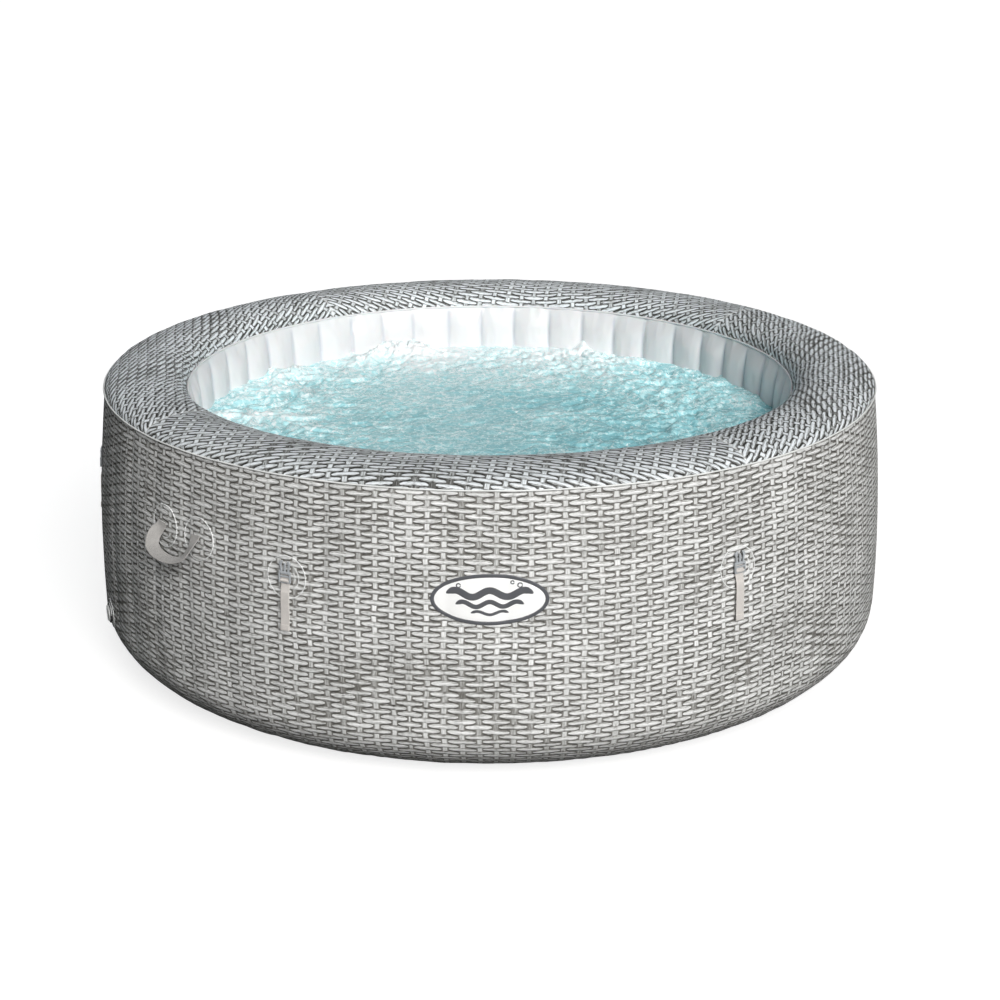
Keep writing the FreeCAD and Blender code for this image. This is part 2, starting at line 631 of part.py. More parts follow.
def drain_grip(y0, y1):
    """The bar across the drain cap's or the plug's face."""
    return block(DRAIN_X - DRAIN_R, DRAIN_X + DRAIN_R, y0, y1, DRAIN_Z - GRIP_T / 2.0, DRAIN_Z + GRIP_T / 2.0)


def drain_cap():
    """Screw cap on the drain's outer end, with a grip bar."""
    plane = flange_face(DRAIN_X, DRAIN_Z, DRAIN_FLANGE_R)
    skirt, face = (plane + reach for reach in DRAIN_CAP_Y)
    shell = cylinder_y(DRAIN_R + DRAIN_CAP_WALL, skirt, face, DRAIN_X, DRAIN_Z)
    shell = shell.cut(cylinder_y(DRAIN_R + CAP_CLEAR, skirt, face - CAP_ROOF_T, DRAIN_X, DRAIN_Z))
    return shell.fuse(drain_grip(face, face + GRIP_H)).removeSplitter()


def drain_plug():
    """Stopper on the drain's bath end, with a grip bar."""
    face = DRAIN_INNER_Y - CAP_ROOF_T - DRAIN_PLUG_SEAT
    skirt = DRAIN_INNER_Y + PLUG_SKIRT
    shell = cylinder_y(DRAIN_R + DRAIN_CAP_WALL, face, skirt, DRAIN_X, DRAIN_Z)
    shell = shell.cut(cylinder_y(DRAIN_R + CAP_CLEAR, face + CAP_ROOF_T, skirt, DRAIN_X, DRAIN_Z))
    return shell.fuse(drain_grip(face - PLUG_GRIP_H, face)).removeSplitter()


# ---- assembly ------------------------------------------------------------------------------------------------
def build():
    """Every node of the assembly, by name."""
    nodes = {}
    sheet_top = BASE_SHEET_T
    floor_bottom = sheet_top + GAP
    liner_foot_r = liner_outline()[-1][0]
    nodes["base_sheet"] = disc(BASE_SHEET_R, 0.0, sheet_top)
    nodes["pool_floor"] = disc(liner_foot_r - GAP, floor_bottom, floor_bottom + POOL_FLOOR_T)
    nodes["chamber_floor"] = disc(FOOT_R - GAP, floor_bottom, floor_bottom + SKIN, liner_foot_r + GAP)
    for index in range(len(SEAM_AZIMUTHS)):
        nodes[f"outer_wall_{index + 1}"] = outer_wall(index)
        nodes[f"top_ring_{index + 1}"] = top_ring(index)
    nodes["inner_wall"] = inner_wall()
    nodes["beams"] = beams()
    nodes["outer_seam_welt"] = ring(OUTER_SEAM[0] + WELT_R + GAP, OUTER_SEAM[1], WELT_R)
    nodes["liner_piping"] = ring(INNER_SEAM[0] - PIPING_R - GAP, INNER_SEAM[1], PIPING_R)
    nodes["bubble_channel"] = bubble_channel()
    nodes["air_riser"] = air_riser()
    nodes["badge_rim"] = badge_rim()
    nodes["badge_plate"] = badge_plate()

    patches = [wall_patch(a, CLIP_Z + CLIP_PATCH_RISE, CLIP_PATCH_R) for a in clip_azimuths()]
    nodes["clip_patches"] = Part.makeCompound(patches)
    nodes["clip_anchors"] = Part.makeCompound([on_wall(clip_anchor(), a, CLIP_Z) for a in clip_azimuths()])
    for index, azimuth in enumerate(clip_azimuths()):
        nodes[f"clip_{index + 1}"] = on_wall(clip(), azimuth, CLIP_Z)
        nodes[f"clip_tail_{index + 1}"] = on_wall(clip_tail(), azimuth, CLIP_Z)

    tab = block(*HANDLE_TAB_X, -HANDLE_W / 2.0, HANDLE_W / 2.0, *HANDLE_TAB_Z)
    for index, azimuth in enumerate(HANDLE_AZIMUTHS):
        ends = handle_end_azimuths(azimuth)
        patches = [wall_patch(a, HANDLE_Z, HANDLE_PATCH_R) for a in ends]
        nodes[f"handle_{index + 1}_patches"] = Part.makeCompound(patches)
        nodes[f"handle_{index + 1}_tabs"] = Part.makeCompound([on_wall(tab, a, HANDLE_Z) for a in ends])
        nodes[f"handle_{index + 1}"] = on_wall(handle_strap(), azimuth, HANDLE_Z)

    nodes["valve_patch"] = wall_patch(VALVE_AZIMUTH, VALVE_Z, VALVE_PATCH_R, VALVE_STUB_R + 0.5)
    for name, maker in (("valve_body", valve_body), ("valve_diaphragm", valve_diaphragm),
                        ("valve_cap", valve_cap), ("valve_tether", valve_tether)):
        nodes[name] = on_wall(maker(), VALVE_AZIMUTH, VALVE_Z)

    collars = [back_collar(x, z, PORT_FLANGE_R + COLLAR_MARGIN, PORT_OUTER_R + GAP) for x, z in PORTS.values()]
    collars.append(back_collar(DRAIN_X, DRAIN_Z, DRAIN_FLANGE_R + DRAIN_COLLAR_MARGIN, DRAIN_R + GAP))
    nodes["duct_collars"] = Part.makeCompound(collars)
    nodes["port_gaskets"] = Part.makeCompound([port_gasket(name) for name in PORTS])
    for name in PORTS:
        nodes[f"{name}_duct"] = port_duct(name)
    for name in ("return", "suction"):
        nodes[f"{name}_screen"] = screen(name)
    nodes["drain_duct"] = drain_duct()
    nodes["drain_cap"] = drain_cap()
    nodes["drain_plug"] = drain_plug()
    return nodes


os.makedirs("parts", exist_ok=True)
for node, shape in build().items():
    shape.exportStep(f"parts/{node}.step")
    box = shape.BoundBox
    print(f"{node:18s} solids {len(shape.Solids):3d} valid {shape.isValid()} volume {shape.Volume / 1000.0:10.2f} cm3"
          f"  x {box.XMin:8.1f} {box.XMax:8.1f} y {box.YMin:8.1f} {box.YMax:8.1f} z {box.ZMin:7.1f} {box.ZMax:7.1f}")
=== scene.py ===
import contextlib
import json
import math

import bmesh
import bpy
import numpy as np
from mathutils import Matrix, Vector


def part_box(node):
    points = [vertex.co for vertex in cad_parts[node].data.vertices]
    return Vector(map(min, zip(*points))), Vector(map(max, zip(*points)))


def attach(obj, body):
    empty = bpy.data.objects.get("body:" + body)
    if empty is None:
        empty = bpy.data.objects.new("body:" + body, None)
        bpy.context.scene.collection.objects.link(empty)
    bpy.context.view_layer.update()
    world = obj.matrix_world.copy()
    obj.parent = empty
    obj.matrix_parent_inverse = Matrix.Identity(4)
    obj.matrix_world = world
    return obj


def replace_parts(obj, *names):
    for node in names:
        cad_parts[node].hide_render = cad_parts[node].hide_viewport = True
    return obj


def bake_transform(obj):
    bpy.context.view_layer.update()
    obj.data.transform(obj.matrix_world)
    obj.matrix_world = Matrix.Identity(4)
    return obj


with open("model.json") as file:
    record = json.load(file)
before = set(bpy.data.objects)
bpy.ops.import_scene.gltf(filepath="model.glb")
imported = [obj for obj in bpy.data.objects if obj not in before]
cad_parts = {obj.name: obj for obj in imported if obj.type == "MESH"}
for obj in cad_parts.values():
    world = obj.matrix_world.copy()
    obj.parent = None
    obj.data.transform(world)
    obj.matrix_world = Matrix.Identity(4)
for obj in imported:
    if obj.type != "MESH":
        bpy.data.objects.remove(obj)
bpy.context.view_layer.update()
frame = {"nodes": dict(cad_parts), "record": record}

# Inflatable hot tub, metres, +Z up, origin at the centre of the base.
# Azimuth 0 is the front (-Y), growing to +X.
# Local places on the wall are (right, up, out) as seen from outside.

# ---- sizes, from the frame where it holds them --------------------
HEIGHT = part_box("top_ring_4")[1].z
WALL_R = -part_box("outer_wall_4")[0].y
WALL_R_Z = 0.234            # height of the widest circle
WALL_CURVE = 0.147          # radius lost per square metre above or below it
CORNER_Z = 0.137            # height where the rounded bottom corner meets the wall
FOOT_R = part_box("chamber_floor")[1].x
FOOT_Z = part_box("chamber_floor")[0].z
OUTER_SEAM = (0.9515, (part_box("outer_seam_welt")[0].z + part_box("outer_seam_welt")[1].z) / 2)
INNER_SEAM = (0.753, (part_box("liner_piping")[0].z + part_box("liner_piping")[1].z) / 2)
APEX_R = 0.846              # radius of the highest circle of the ring
LINER_R = 0.735
FLOOR_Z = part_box("pool_floor")[1].z
WATER_Z = 0.545             # mean height of the bubbling surface

SEAM_AZIMUTHS = (35.5, 125.5, 215.5, 305.5)
BEAM_STEP = 7.5             # degrees between the inner beams
BEAM_PHASE = 1.65

STAKE_PITCH = 0.0373        # of the printed wicker, along its rows
ROW_PITCH = 0.0123
MIRROR_AZIMUTH = 16.1       # the wall's print is mirrored here, and again every MIRROR_STAKES stakes
MIRROR_STAKES = 12.0
MESH_STEP = 0.006           # of the large skins
MIDDLE_TONE = 0.45          # of the print, unchanged by its contrast

CLIP_Z = 0.446              # lower bar of each cover clip
CLIP_BAR_OUT = 0.0056
CLIP_PATCH_R = 0.049
CLIP_PATCH_RISE = 0.006     # patch centre above the bar
STRAP_W = 0.022
STRAP_T = 0.0013
TAIL_LENGTH = 0.112
HANDLE_Z = 0.488            # hinge line of each carry handle
HANDLE_HALF = 0.062         # from a handle's middle to each end
HANDLE_PATCH_R = 0.050
HANDLE_W = 0.030
HANDLE_T = 0.0022
VALVE_AZIMUTH = -70.5
VALVE_Z = 0.150
VALVE_PATCH_R = 0.036
BADGE_HALF_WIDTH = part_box("badge_rim")[1].x
BADGE_HALF_HEIGHT = (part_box("badge_rim")[1].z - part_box("badge_rim")[0].z) / 2
BADGE_Z = (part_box("badge_rim")[0].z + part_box("badge_rim")[1].z) / 2
BADGE_RIM = 0.0084
BUBBLE_LINE = 0.0026
WEBBING_THREAD = 0.0011
WEBBING_SHARP = 50.0        # degrees between two faces from which their edge stays sharp
BUCKLE_SHARP = 38.0
STITCH_PITCH = 0.0032
STITCH_HALF = 0.0011
STITCH_R = 0.00032
STAGE_R = 60.0              # of the floor and the backdrop
CAMERA_LENS = 71.96         # millimetres, on a 36 mm sensor
CAMERA_SHIFT = (0.01025, -0.0099)
CAMERA_DISTANCE = 5.119     # from the middle of the tub
CAMERA_RISE = 18.61         # degrees above the horizon


# ---- smooth random fields --------------------
def smoothstep(value, low, high):
    """0 below low, 1 above high, smooth between them."""
    t = np.clip((value - low) / (high - low), 0.0, 1.0)
    return t * t * (3.0 - 2.0 * t)


def value_noise(x, y, seed=0.0):
    """A smooth field between -1 and 1 with one random value per unit cell."""
    x, y = np.broadcast_arrays(x, y)
    column, row = np.floor(x), np.floor(y)
    across, up = x - column, y - row
    across = across * across * (3.0 - 2.0 * across)
    up = up * up * (3.0 - 2.0 * up)

    def corner(right, above):
        wave = np.sin((column + right) * 127.1 + (row + above) * 311.7 + seed * 74.7) * 43758.5453
        return 2.0 * (wave - np.floor(wave)) - 1.0

    lower = corner(0, 0) * (1.0 - across) + corner(1, 0) * across
    upper = corner(0, 1) * (1.0 - across) + corner(1, 1) * across
    return lower * (1.0 - up) + upper * up


def layered_noise(x, y, octaves=4, seed=0.0):
    """Finer and fainter copies of value_noise, added up."""
    total = 0.0
    for octave in range(octaves):
        finer = 2.0 ** octave
        total = total + value_noise(x * finer, y * finer, seed + 13.0 * octave) / finer
    return total


# ---- shader expressions --------------------
def set_stops(ramp, stops):
    """Give a colour ramp its (place, (r, g, b)) stops."""
    while len(ramp.elements) < len(stops):
        ramp.elements.new(0.5)
    for element, (place, rgb) in zip(ramp.elements, stops):
        element.position = place
        element.color = (*rgb, 1.0)


def math_method(operation, reverse=False):
    """A method that makes a math node from an expression and any other value."""
    def method(self, *others):
        values = (*others, self) if reverse else (self, *others)
        return self.graph.math(operation, *values)
    return method


class Expression:
    """The output of a shader node; arithmetic on it makes more nodes."""

    def __init__(self, graph, socket):
        self.graph = graph
        self.socket = socket

    __add__ = __radd__ = math_method("ADD")
    __mul__ = __rmul__ = math_method("MULTIPLY")
    __sub__ = math_method("SUBTRACT")
    __rsub__ = math_method("SUBTRACT", reverse=True)
    __truediv__ = math_method("DIVIDE")
    __rtruediv__ = math_method("DIVIDE", reverse=True)
    __pow__ = math_method("POWER")
    __abs__ = math_method("ABSOLUTE")


class Graph:
    """A material with one Principled shader, built from expressions."""

    def __init__(self, name, roughness=0.5, specular=0.4, **constants):
        self.material = bpy.data.materials.new(name)
        self.material.use_nodes = True
        self.nodes = self.material.node_tree.nodes
        self.links = self.material.node_tree.links
        self.nodes.clear()
        output = self.nodes.new("ShaderNodeOutputMaterial")
        self.shader = self.nodes.new("ShaderNodeBsdfPrincipled")
        self.links.new(self.shader.outputs["BSDF"], output.inputs["Surface"])
        self.shader.inputs["Roughness"].default_value = roughness
        self.shader.inputs["Specular IOR Level"].default_value = specular
        for key, value in constants.items():
            self.shader.inputs[key.replace("_", " ")].default_value = value

    def node(self, kind, inputs=(), output=0, **settings):
        """A new node with its inputs fed in order; returns one of its outputs."""
        node = self.nodes.new(kind)
        for key, value in settings.items():
            setattr(node, key, value)
        for socket, value in inputs:
            self.feed(node.inputs[socket], value)
        return Expression(self, node.outputs[output])

    def feed(self, socket, value):
        """Link an expression to a socket, or set the socket to a constant."""
        if isinstance(value, Expression):
            self.links.new(value.socket, socket)
        else:
            socket.default_value = value

    def math(self, operation, *values, clamp=False):
        return self.node("ShaderNodeMath", list(enumerate(values)), operation=operation, use_clamp=clamp)

    def floor(self, value):
        return self.math("FLOOR", value)

    def modulo(self, value, divisor):
        return self.math("FLOORED_MODULO", value, divisor)

    def clamp(self, value):
        return self.math("ADD", value, 0.0, clamp=True)

    def attribute(self, name):
        return self.node("ShaderNodeAttribute", output="Fac", attribute_name=name)

    def place(self):
        """The point's place in the object's own frame, metres."""
        return self.node("ShaderNodeTexCoord", output="Object")

    def vector(self, x, y, z=0.0):
        return self.node("ShaderNodeCombineXYZ", [(0, x), (1, y), (2, z)])

    def noise(self, where, scale=1.0, detail=2.0, roughness=0.5):
        inputs = [("Vector", where), ("Scale", scale), ("Detail", detail), ("Roughness", roughness)]
        return self.node("ShaderNodeTexNoise", inputs, output=0)

    def cells(self, where, scale=1.0, feature="F1"):
        inputs = [("Vector", where), ("Scale", scale)]
        return self.node("ShaderNodeTexVoronoi", inputs, output="Distance", feature=feature)

    def random(self, x, y, z=0.0):
        """One random number per whole (x, y, z)."""
        return self.node("ShaderNodeTexWhiteNoise", [("Vector", self.vector(x, y, z))], output="Value")

    def smooth(self, value, low, high):
        """0 at low, 1 at high, smooth between them."""
        inputs = [("Value", value), ("From Min", low), ("From Max", high)]
        return self.node("ShaderNodeMapRange", inputs, interpolation_type="SMOOTHSTEP")

    def ramp(self, value, stops):
        """A colour from (place, (r, g, b)) stops."""
        colour = self.node("ShaderNodeValToRGB", [("Fac", value)], output="Color")
        set_stops(colour.socket.node.color_ramp, stops)
        return colour

    def mix(self, factor, first, second):
        """A colour or number between first and second."""
        if all(isinstance(value, (int, float)) for value in (first, second)):
            return factor * (second - first) + first
        inputs = []
        for socket, value in ((0, factor), (6, first), (7, second)):
            inputs.append((socket, (*value, 1.0) if isinstance(value, tuple) else value))
        return self.node("ShaderNodeMix", inputs, output=2, data_type="RGBA")

    def bump(self, height, distance, strength=1.0):
        inputs = [("Height", height), ("Distance", distance), ("Strength", strength)]
        self.feed(self.shader.inputs["Normal"], self.node("ShaderNodeBump", inputs))

    def surface(self, colour, roughness=None):
        """Give the shader its colour and roughness."""
        self.feed(self.shader.inputs["Base Color"], colour)
        if roughness is not None:
            self.feed(self.shader.inputs["Roughness"], roughness)
        return self.material


# ---- materials --------------------
def wicker_print(name, tint, gain=1.0, contrast=1.0):
    """PVC printed with a basket weave: long tapered strands over one stake and under the next."""
    g = Graph(name, roughness=0.52, specular=0.35)
    u_raw, v_raw = g.attribute("weave_u"), g.attribute("weave_v")
    mirrored = g.math("PINGPONG", u_raw, MIRROR_STAKES)
    slow = g.noise(g.vector(mirrored * 0.23, v_raw * 0.06), detail=1.0)
    slow_too = g.noise(g.vector(mirrored * 0.31, v_raw * 0.10, 7.0), detail=1.0)
    u = mirrored + (slow_too - 0.5) * 0.36
    v = v_raw + (slow - 0.5) * 1.1

    row = g.floor(v)
    odd = g.modulo(row, 2.0)
    along = g.modulo(u + odd, 2.0) - 1.0
    strand = g.floor((u + odd) * 0.5)
    first = g.random(strand, row)
    second = g.random(strand, row, 5.0)
    stake = g.floor(u + 0.5)

    reach = abs(along) / 0.80
    across = v - row - 0.5 - along * (second * 0.18 - 0.02)
    taper = 1.0 - 0.46 * reach ** 3.4
    blunt = g.math("SQRT", g.clamp(1.0 - reach ** 10.0))
    ragged = g.noise(g.vector(u * 3.3, v * 1.2, 11.0), detail=2.0) - 0.5
    half = (0.485 + first * 0.03) * taper * blunt + ragged * 0.13
    inside = g.smooth(half - abs(across), -0.005, 0.085)

    streaks = g.noise(g.vector(u * 2.2, v * 7.0, strand * 3.1), detail=4.0, roughness=0.72)
    crown = 1.0 / (1.0 + ((across + 0.08) / 0.15) ** 2.0)
    shadow = g.smooth(across, 0.02, 0.40)
    tone = 0.44 + first * 0.16 + crown * 0.34 - shadow * 0.18 - reach ** 3.0 * 0.08 + (streaks - 0.5) * 2.1
    crossing = 1.0 / (1.0 + (along / 0.07) ** 2.0)
    tone = tone - crossing * g.random(strand, row, 13.0) * 0.22

    nub_random = g.random(stake, row, 9.0)
    nub_streaks = g.noise(g.vector(u * 17.0, v * 0.7, 3.0), detail=1.0)
    stake_tone = g.noise(g.vector(stake * 0.16, v_raw * 0.085, 2.0), detail=1.0)
    nub_tone = 0.60 + (stake_tone - 0.5) * 1.25 + (nub_random - 0.5) * 0.14 + (nub_streaks - 0.5) * 0.75
    nub = g.smooth(abs(along) + ragged * 0.10, 1.0 - 0.165, 1.0 - 0.090)
    nub = nub * g.smooth(0.5 - abs(v - row - 0.5), -0.10, 0.07)
    beside_nub = g.smooth(abs(along), 0.66, 0.84)
    gap_tone = 0.05 + slow_too * 0.12 + beside_nub * 0.17
    ground = nub * (nub_tone - gap_tone) + gap_tone
    tone = inside * (tone - ground) + ground

    patchy = g.noise(g.vector(u * 0.12, v * 0.05, 4.0), detail=2.0)
    tone = g.clamp((tone + (patchy - 0.5) * 0.14 - MIDDLE_TONE) * contrast + MIDDLE_TONE)
    shades = ((0.0, (0.040, 0.038, 0.033)), (0.26, (0.190, 0.184, 0.170)), (0.60, (0.625, 0.628, 0.622)),
              (1.0, (0.985, 0.99, 1.0)))
    stops = []
    for place, rgb in shades:
        stops.append((place, tuple(min(1.0, gain * value * share) for value, share in zip(rgb, tint))))
    colour = g.mix(g.attribute("rim"), g.ramp(tone, stops), (0.86, 0.87, 0.87))
    relief = inside * (0.4 + 0.6 * (1.0 - (across / 0.45) ** 2.0)) + streaks * 0.12
    relief = relief + nub * 0.3 * (1.0 - inside)
    g.bump(relief, distance=0.0018, strength=0.8)
    return g.surface(colour, 0.44 + streaks * 0.16)


def white_vinyl(name, colour, shadow):
    """Smooth PVC sheet with a faint orange peel, and painted shade: darker towards the shadow colour along
    the creases where it is tied back, and a little in a slow random cloud.
    """
    g = Graph(name, roughness=0.38, specular=0.5, Subsurface_Weight=0.08, Subsurface_Scale=0.01)
    where = g.place()
    cloud = g.noise(where, scale=6.0, detail=3.0)
    grain = g.noise(where, scale=900.0, detail=2.0)
    crease_shade = g.attribute("crease_shade")
    # painted shade: the colour goes towards the shadow colour along the creases, and a little in a random
    # cloud
    base = g.mix(g.clamp(crease_shade * 0.75 + (cloud - 0.5) * 0.25), colour, shadow)
    g.bump(grain, distance=0.0002, strength=0.25)
    return g.surface(base, 0.30 + cloud * 0.16)


def plain_plastic(name, dark, light, roughness=0.45, grain_scale=700.0):
    """Moulded plastic: a fine spark-eroded grain and slow changes of tone."""
    g = Graph(name, roughness=roughness, specular=0.45)
    where = g.place()
    cloud = g.noise(where, scale=28.0, detail=3.0)
    grain = g.noise(where, scale=grain_scale, detail=2.0)
    g.bump(grain, distance=0.00012, strength=0.4)
    return g.surface(g.mix(cloud, dark, light), roughness - 0.08 + grain * 0.16)


def webbing_cloth(name, dark, light):
    """Woven strap: small crossing threads with a soft sheen, and painted shade in the hollows between the
    threads.
    """
    g = Graph(name, roughness=0.8, specular=0.25, Sheen_Weight=0.25, Sheen_Roughness=0.5)
    u, v = g.attribute("strap_u"), g.attribute("strap_v")
    column = g.floor(u)
    shifted = v + g.modulo(column, 2.0) * 0.5
    warp = g.math("SINE", g.modulo(u, 1.0) * math.pi)
    weft = abs(g.math("SINE", shifted * math.pi))
    height = warp * 0.6 + weft * warp * 0.5
    fuzz = g.noise(g.place(), scale=1500.0, detail=2.0)
    cloud = g.noise(g.place(), scale=60.0, detail=2.0)
    # painted shade: the tone follows the threads' height, darker in the hollows between them; the fuzz and
    # cloud are random tone
    tone = g.clamp(height * 0.42 + fuzz * 0.3 + cloud * 0.35)
    g.bump(height + fuzz * 0.3, distance=0.0004, strength=0.7)
    return g.surface(g.mix(tone, dark, light))


def bubbling_water(name):
    """Aerated water: turquoise in the troughs, white where the bubbles gather and, towards the back, with
    painted reflection; sparse white spots are painted glints.
    """
    g = Graph(name, roughness=0.12, specular=0.5, IOR=1.33)
    where = g.place()
    # this field also carries painted reflection, whitening the back of the water
    foam_and_reflection = g.attribute("foam_and_reflection")
    fine = g.noise(where, scale=75.0, detail=5.0, roughness=0.75)
    lace = g.cells(where, scale=70.0)
    # painted glints: sparse white spots standing in for highlights on the bubbles
    painted_glint = g.smooth(g.noise(where, scale=125.0, detail=2.0, roughness=0.7), 0.62, 0.68)
    broad = g.noise(where, scale=9.0, detail=4.0, roughness=0.6)
    filament = g.smooth(abs(g.noise(where, scale=24.0, detail=5.0, roughness=0.62) - 0.5), 0.046, 0.0)
    white = foam_and_reflection * 0.85 + (fine - 0.5) * 0.95 + (0.42 - lace) * 0.20 + (broad - 0.5) * 0.30
    white = g.clamp(white + painted_glint * 0.60 + filament * 0.34)
    colour = g.ramp(white, [
        (0.0, (0.25, 0.56, 0.62)),
        (0.30, (0.43, 0.75, 0.79)),
        (0.60, (0.72, 0.89, 0.91)),
        (1.0, (0.98, 0.99, 1.0)),
    ])
    g.bump(fine * 0.6 + (1.0 - lace) * 0.4, distance=0.003, strength=0.5)
    return g.surface(colour, 0.10 + white * 0.34)


WICKER = wicker_print("wicker_print_wall", (1.0, 1.0, 1.0), gain=1.04, contrast=1.05)
WICKER_RING = wicker_print("wicker_print_ring", (0.93, 0.97, 1.0), gain=0.88, contrast=1.6)
# the liner's second colour is its painted crease shade
WHITE_PVC = white_vinyl("liner_vinyl", (0.69, 0.69, 0.70), (0.47, 0.49, 0.54))
# near-black vinyl: the thin dark edge of the base sheet along the foot is its colour and also painted contact
# shadow
DARK_PVC_AND_FOOT_SHADE = plain_plastic("base_vinyl_and_foot_shade", (0.035, 0.036, 0.038), (0.07, 0.07, 0.072), 0.55)
INNER_PVC = plain_plastic("beam_vinyl", (0.62, 0.63, 0.63), (0.72, 0.73, 0.73), 0.5)
WEBBING = webbing_cloth("grey_webbing", (0.48, 0.45, 0.425), (0.86, 0.82, 0.785))
WEBBING_DARK = webbing_cloth("handle_webbing", (0.20, 0.192, 0.186), (0.47, 0.455, 0.44))
BUCKLE = plain_plastic("buckle_plastic", (0.34, 0.362, 0.385), (0.50, 0.525, 0.55), 0.34)
BADGE_DARK = plain_plastic("badge_rim_print", (0.085, 0.088, 0.098), (0.12, 0.124, 0.135), 0.42)
BADGE_PALE = plain_plastic("badge_field_print", (0.95, 0.955, 0.95), (1.0, 1.0, 1.0), 0.40)
WELD = plain_plastic("weld_vinyl", (0.74, 0.75, 0.74), (0.86, 0.87, 0.86), 0.40)
RUBBER = plain_plastic("black_rubber", (0.022, 0.022, 0.024), (0.045, 0.045, 0.047), 0.62)
FITTING = plain_plastic("fitting_plastic", (0.40, 0.415, 0.43), (0.52, 0.535, 0.55), 0.38)
VALVE = plain_plastic("valve_plastic", (0.46, 0.47, 0.47), (0.60, 0.61, 0.61), 0.36)
WATER = bubbling_water("bubbling_water")


# ---- meshes --------------------
def place_object(name, data):
    """A new object in the scene, showing a mesh, light or camera."""
    shown = bpy.data.objects.new(name, data)
    bpy.context.scene.collection.objects.link(shown)
    return shown


def add_mesh(name, mesh, material, body="tub"):
    """Show a finished mesh, riding on a body and taking its finish from a slot."""
    piece = place_object(name, mesh)
    mesh.materials.append(material)
    if body:
        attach(piece, body)
    return piece


def grid_mesh(name, points, wrap=False, fields=None):
    """A smooth skin over a grid of points, with a number per point for each field."""
    rows, columns = points.shape[:2]
    index = np.arange(rows * columns).reshape(rows, columns)
    right = np.roll(index, -1, axis=1)
    if not wrap:
        index, right = index[:, :-1], right[:, :-1]
    faces = np.stack([index[:-1], right[:-1], right[1:], index[1:]], axis=-1).reshape(-1, 4)
    mesh = bpy.data.meshes.new(name)
    mesh.from_pydata(points.reshape(-1, 3).tolist(), [], faces.tolist())
    for field, values in (fields or {}).items():
        layer = mesh.attributes.new(field, "FLOAT", "POINT")
        layer.data.foreach_set("value", np.broadcast_to(values, (rows, columns)).astype(np.float32).ravel())
    mesh.shade_smooth()
    return mesh


def lengths_along(points):
    """How far along a line each of its points is."""
    return np.concatenate([[0.0], np.cumsum(np.linalg.norm(np.diff(points, axis=0), axis=1))])


def resample(points, spacing):
    """The same line with points about spacing apart, and how far along it each one is."""
    along = lengths_along(points)
    distance = np.linspace(0.0, along[-1], max(2, round(along[-1] / spacing) + 1))
    return np.stack([np.interp(distance, along, column) for column in points.T], 1), distance


def unit(rows):
    """The rows scaled to length 1."""
    return rows / np.linalg.norm(rows, axis=1)[:, None]


def directions(line):
    """The unit tangent at each point of a line."""
    return unit(np.gradient(line, axis=0))


def full_turn(count):
    """Angles evenly spaced round a circle."""
    return np.linspace(0.0, 2.0 * math.pi, count + 1)[:-1]


def polar(r, azimuths, z):
    """Points at a radius, an azimuth in degrees and a height."""
    angle = np.radians(azimuths)
    return np.stack(np.broadcast_arrays(r * np.sin(angle), -r * np.cos(angle), z), axis=-1)


def revolve(profile, azimuths, relief):
    """Points of a skin of revolution, moved out along its normal by relief."""
    tangent = directions(profile)
    r = profile[:, :1] + tangent[:, 1:] * relief
    z = profile[:, 1:] - tangent[:, :1] * relief
    return polar(r, azimuths[None, :], z)


@contextlib.contextmanager
def editing(mesh):
    """Edit a mesh as a bmesh, which is written back at the end."""
    work = bmesh.new()
    work.from_mesh(mesh)
    yield work
    work.to_mesh(mesh)
    work.free()


def drop_faces(mesh, unwanted):
    """Remove the faces whose centre the test picks, and any points left loose."""
    with editing(mesh) as work:
        picked = [face for face in work.faces if unwanted(face.calc_center_median())]
        bmesh.ops.delete(work, geom=picked, context="FACES")


def closed_skin(mesh):
    """Merge the points that share a place and make the faces look outwards."""
    with editing(mesh) as work:
        bmesh.ops.remove_doubles(work, verts=work.verts, dist=1e-7)
        bmesh.ops.recalc_face_normals(work, faces=work.faces)
    return mesh


def joined(name, parts, matrix=Matrix(), sharp=None):
    """One smooth mesh of several, moved by a matrix; edges of more than sharp degrees stay sharp."""
    result = bpy.data.meshes.new(name)
    with editing(result) as work:
        for mesh in parts:
            part = mesh.copy()
            part.transform(matrix)
            work.from_mesh(part)
    result.shade_smooth()
    if sharp:
        result.set_sharp_from_angle(angle=math.radians(sharp))
    return result


# ---- wall, ring and liner --------------------
def wall_radius(z):
    """Outer radius of the wall at a height."""
    z = np.asarray(z, float)
    upper = WALL_R - WALL_CURVE * (np.maximum(z, CORNER_Z) - WALL_R_Z) ** 2
    rise = np.clip((CORNER_Z - z) / (CORNER_Z - FOOT_Z), 0.0, 1.0)
    return np.where(z >= CORNER_Z, upper, FOOT_R + (upper - FOOT_R) * np.sqrt(1.0 - rise * rise))


def wall_profile():
    """(radius, height) from the foot up to the top seam."""
    angle = np.linspace(0.0, math.pi / 2, 60)
    corner_r = float(wall_radius(CORNER_Z))
    corner = np.stack([FOOT_R + (corner_r - FOOT_R) * np.sin(angle),
                       CORNER_Z - (CORNER_Z - FOOT_Z) * np.cos(angle)], 1)
    z = np.linspace(CORNER_Z, OUTER_SEAM[1], 80)[1:]
    return np.concatenate([corner, np.stack([wall_radius(z), z], 1)])


def ring_profile():
    """(radius, height) from the wall's seam over the top to the liner's seam."""
    angle = np.linspace(0.0, math.pi, 160)
    outer = angle <= math.pi / 2
    seam_r = np.where(outer, OUTER_SEAM[0], INNER_SEAM[0])
    seam_z = np.where(outer, OUTER_SEAM[1], INNER_SEAM[1])
    r = APEX_R + np.abs(seam_r - APEX_R) * np.cos(angle)
    return np.stack([r, seam_z + (HEIGHT - seam_z) * np.sin(angle)], 1)


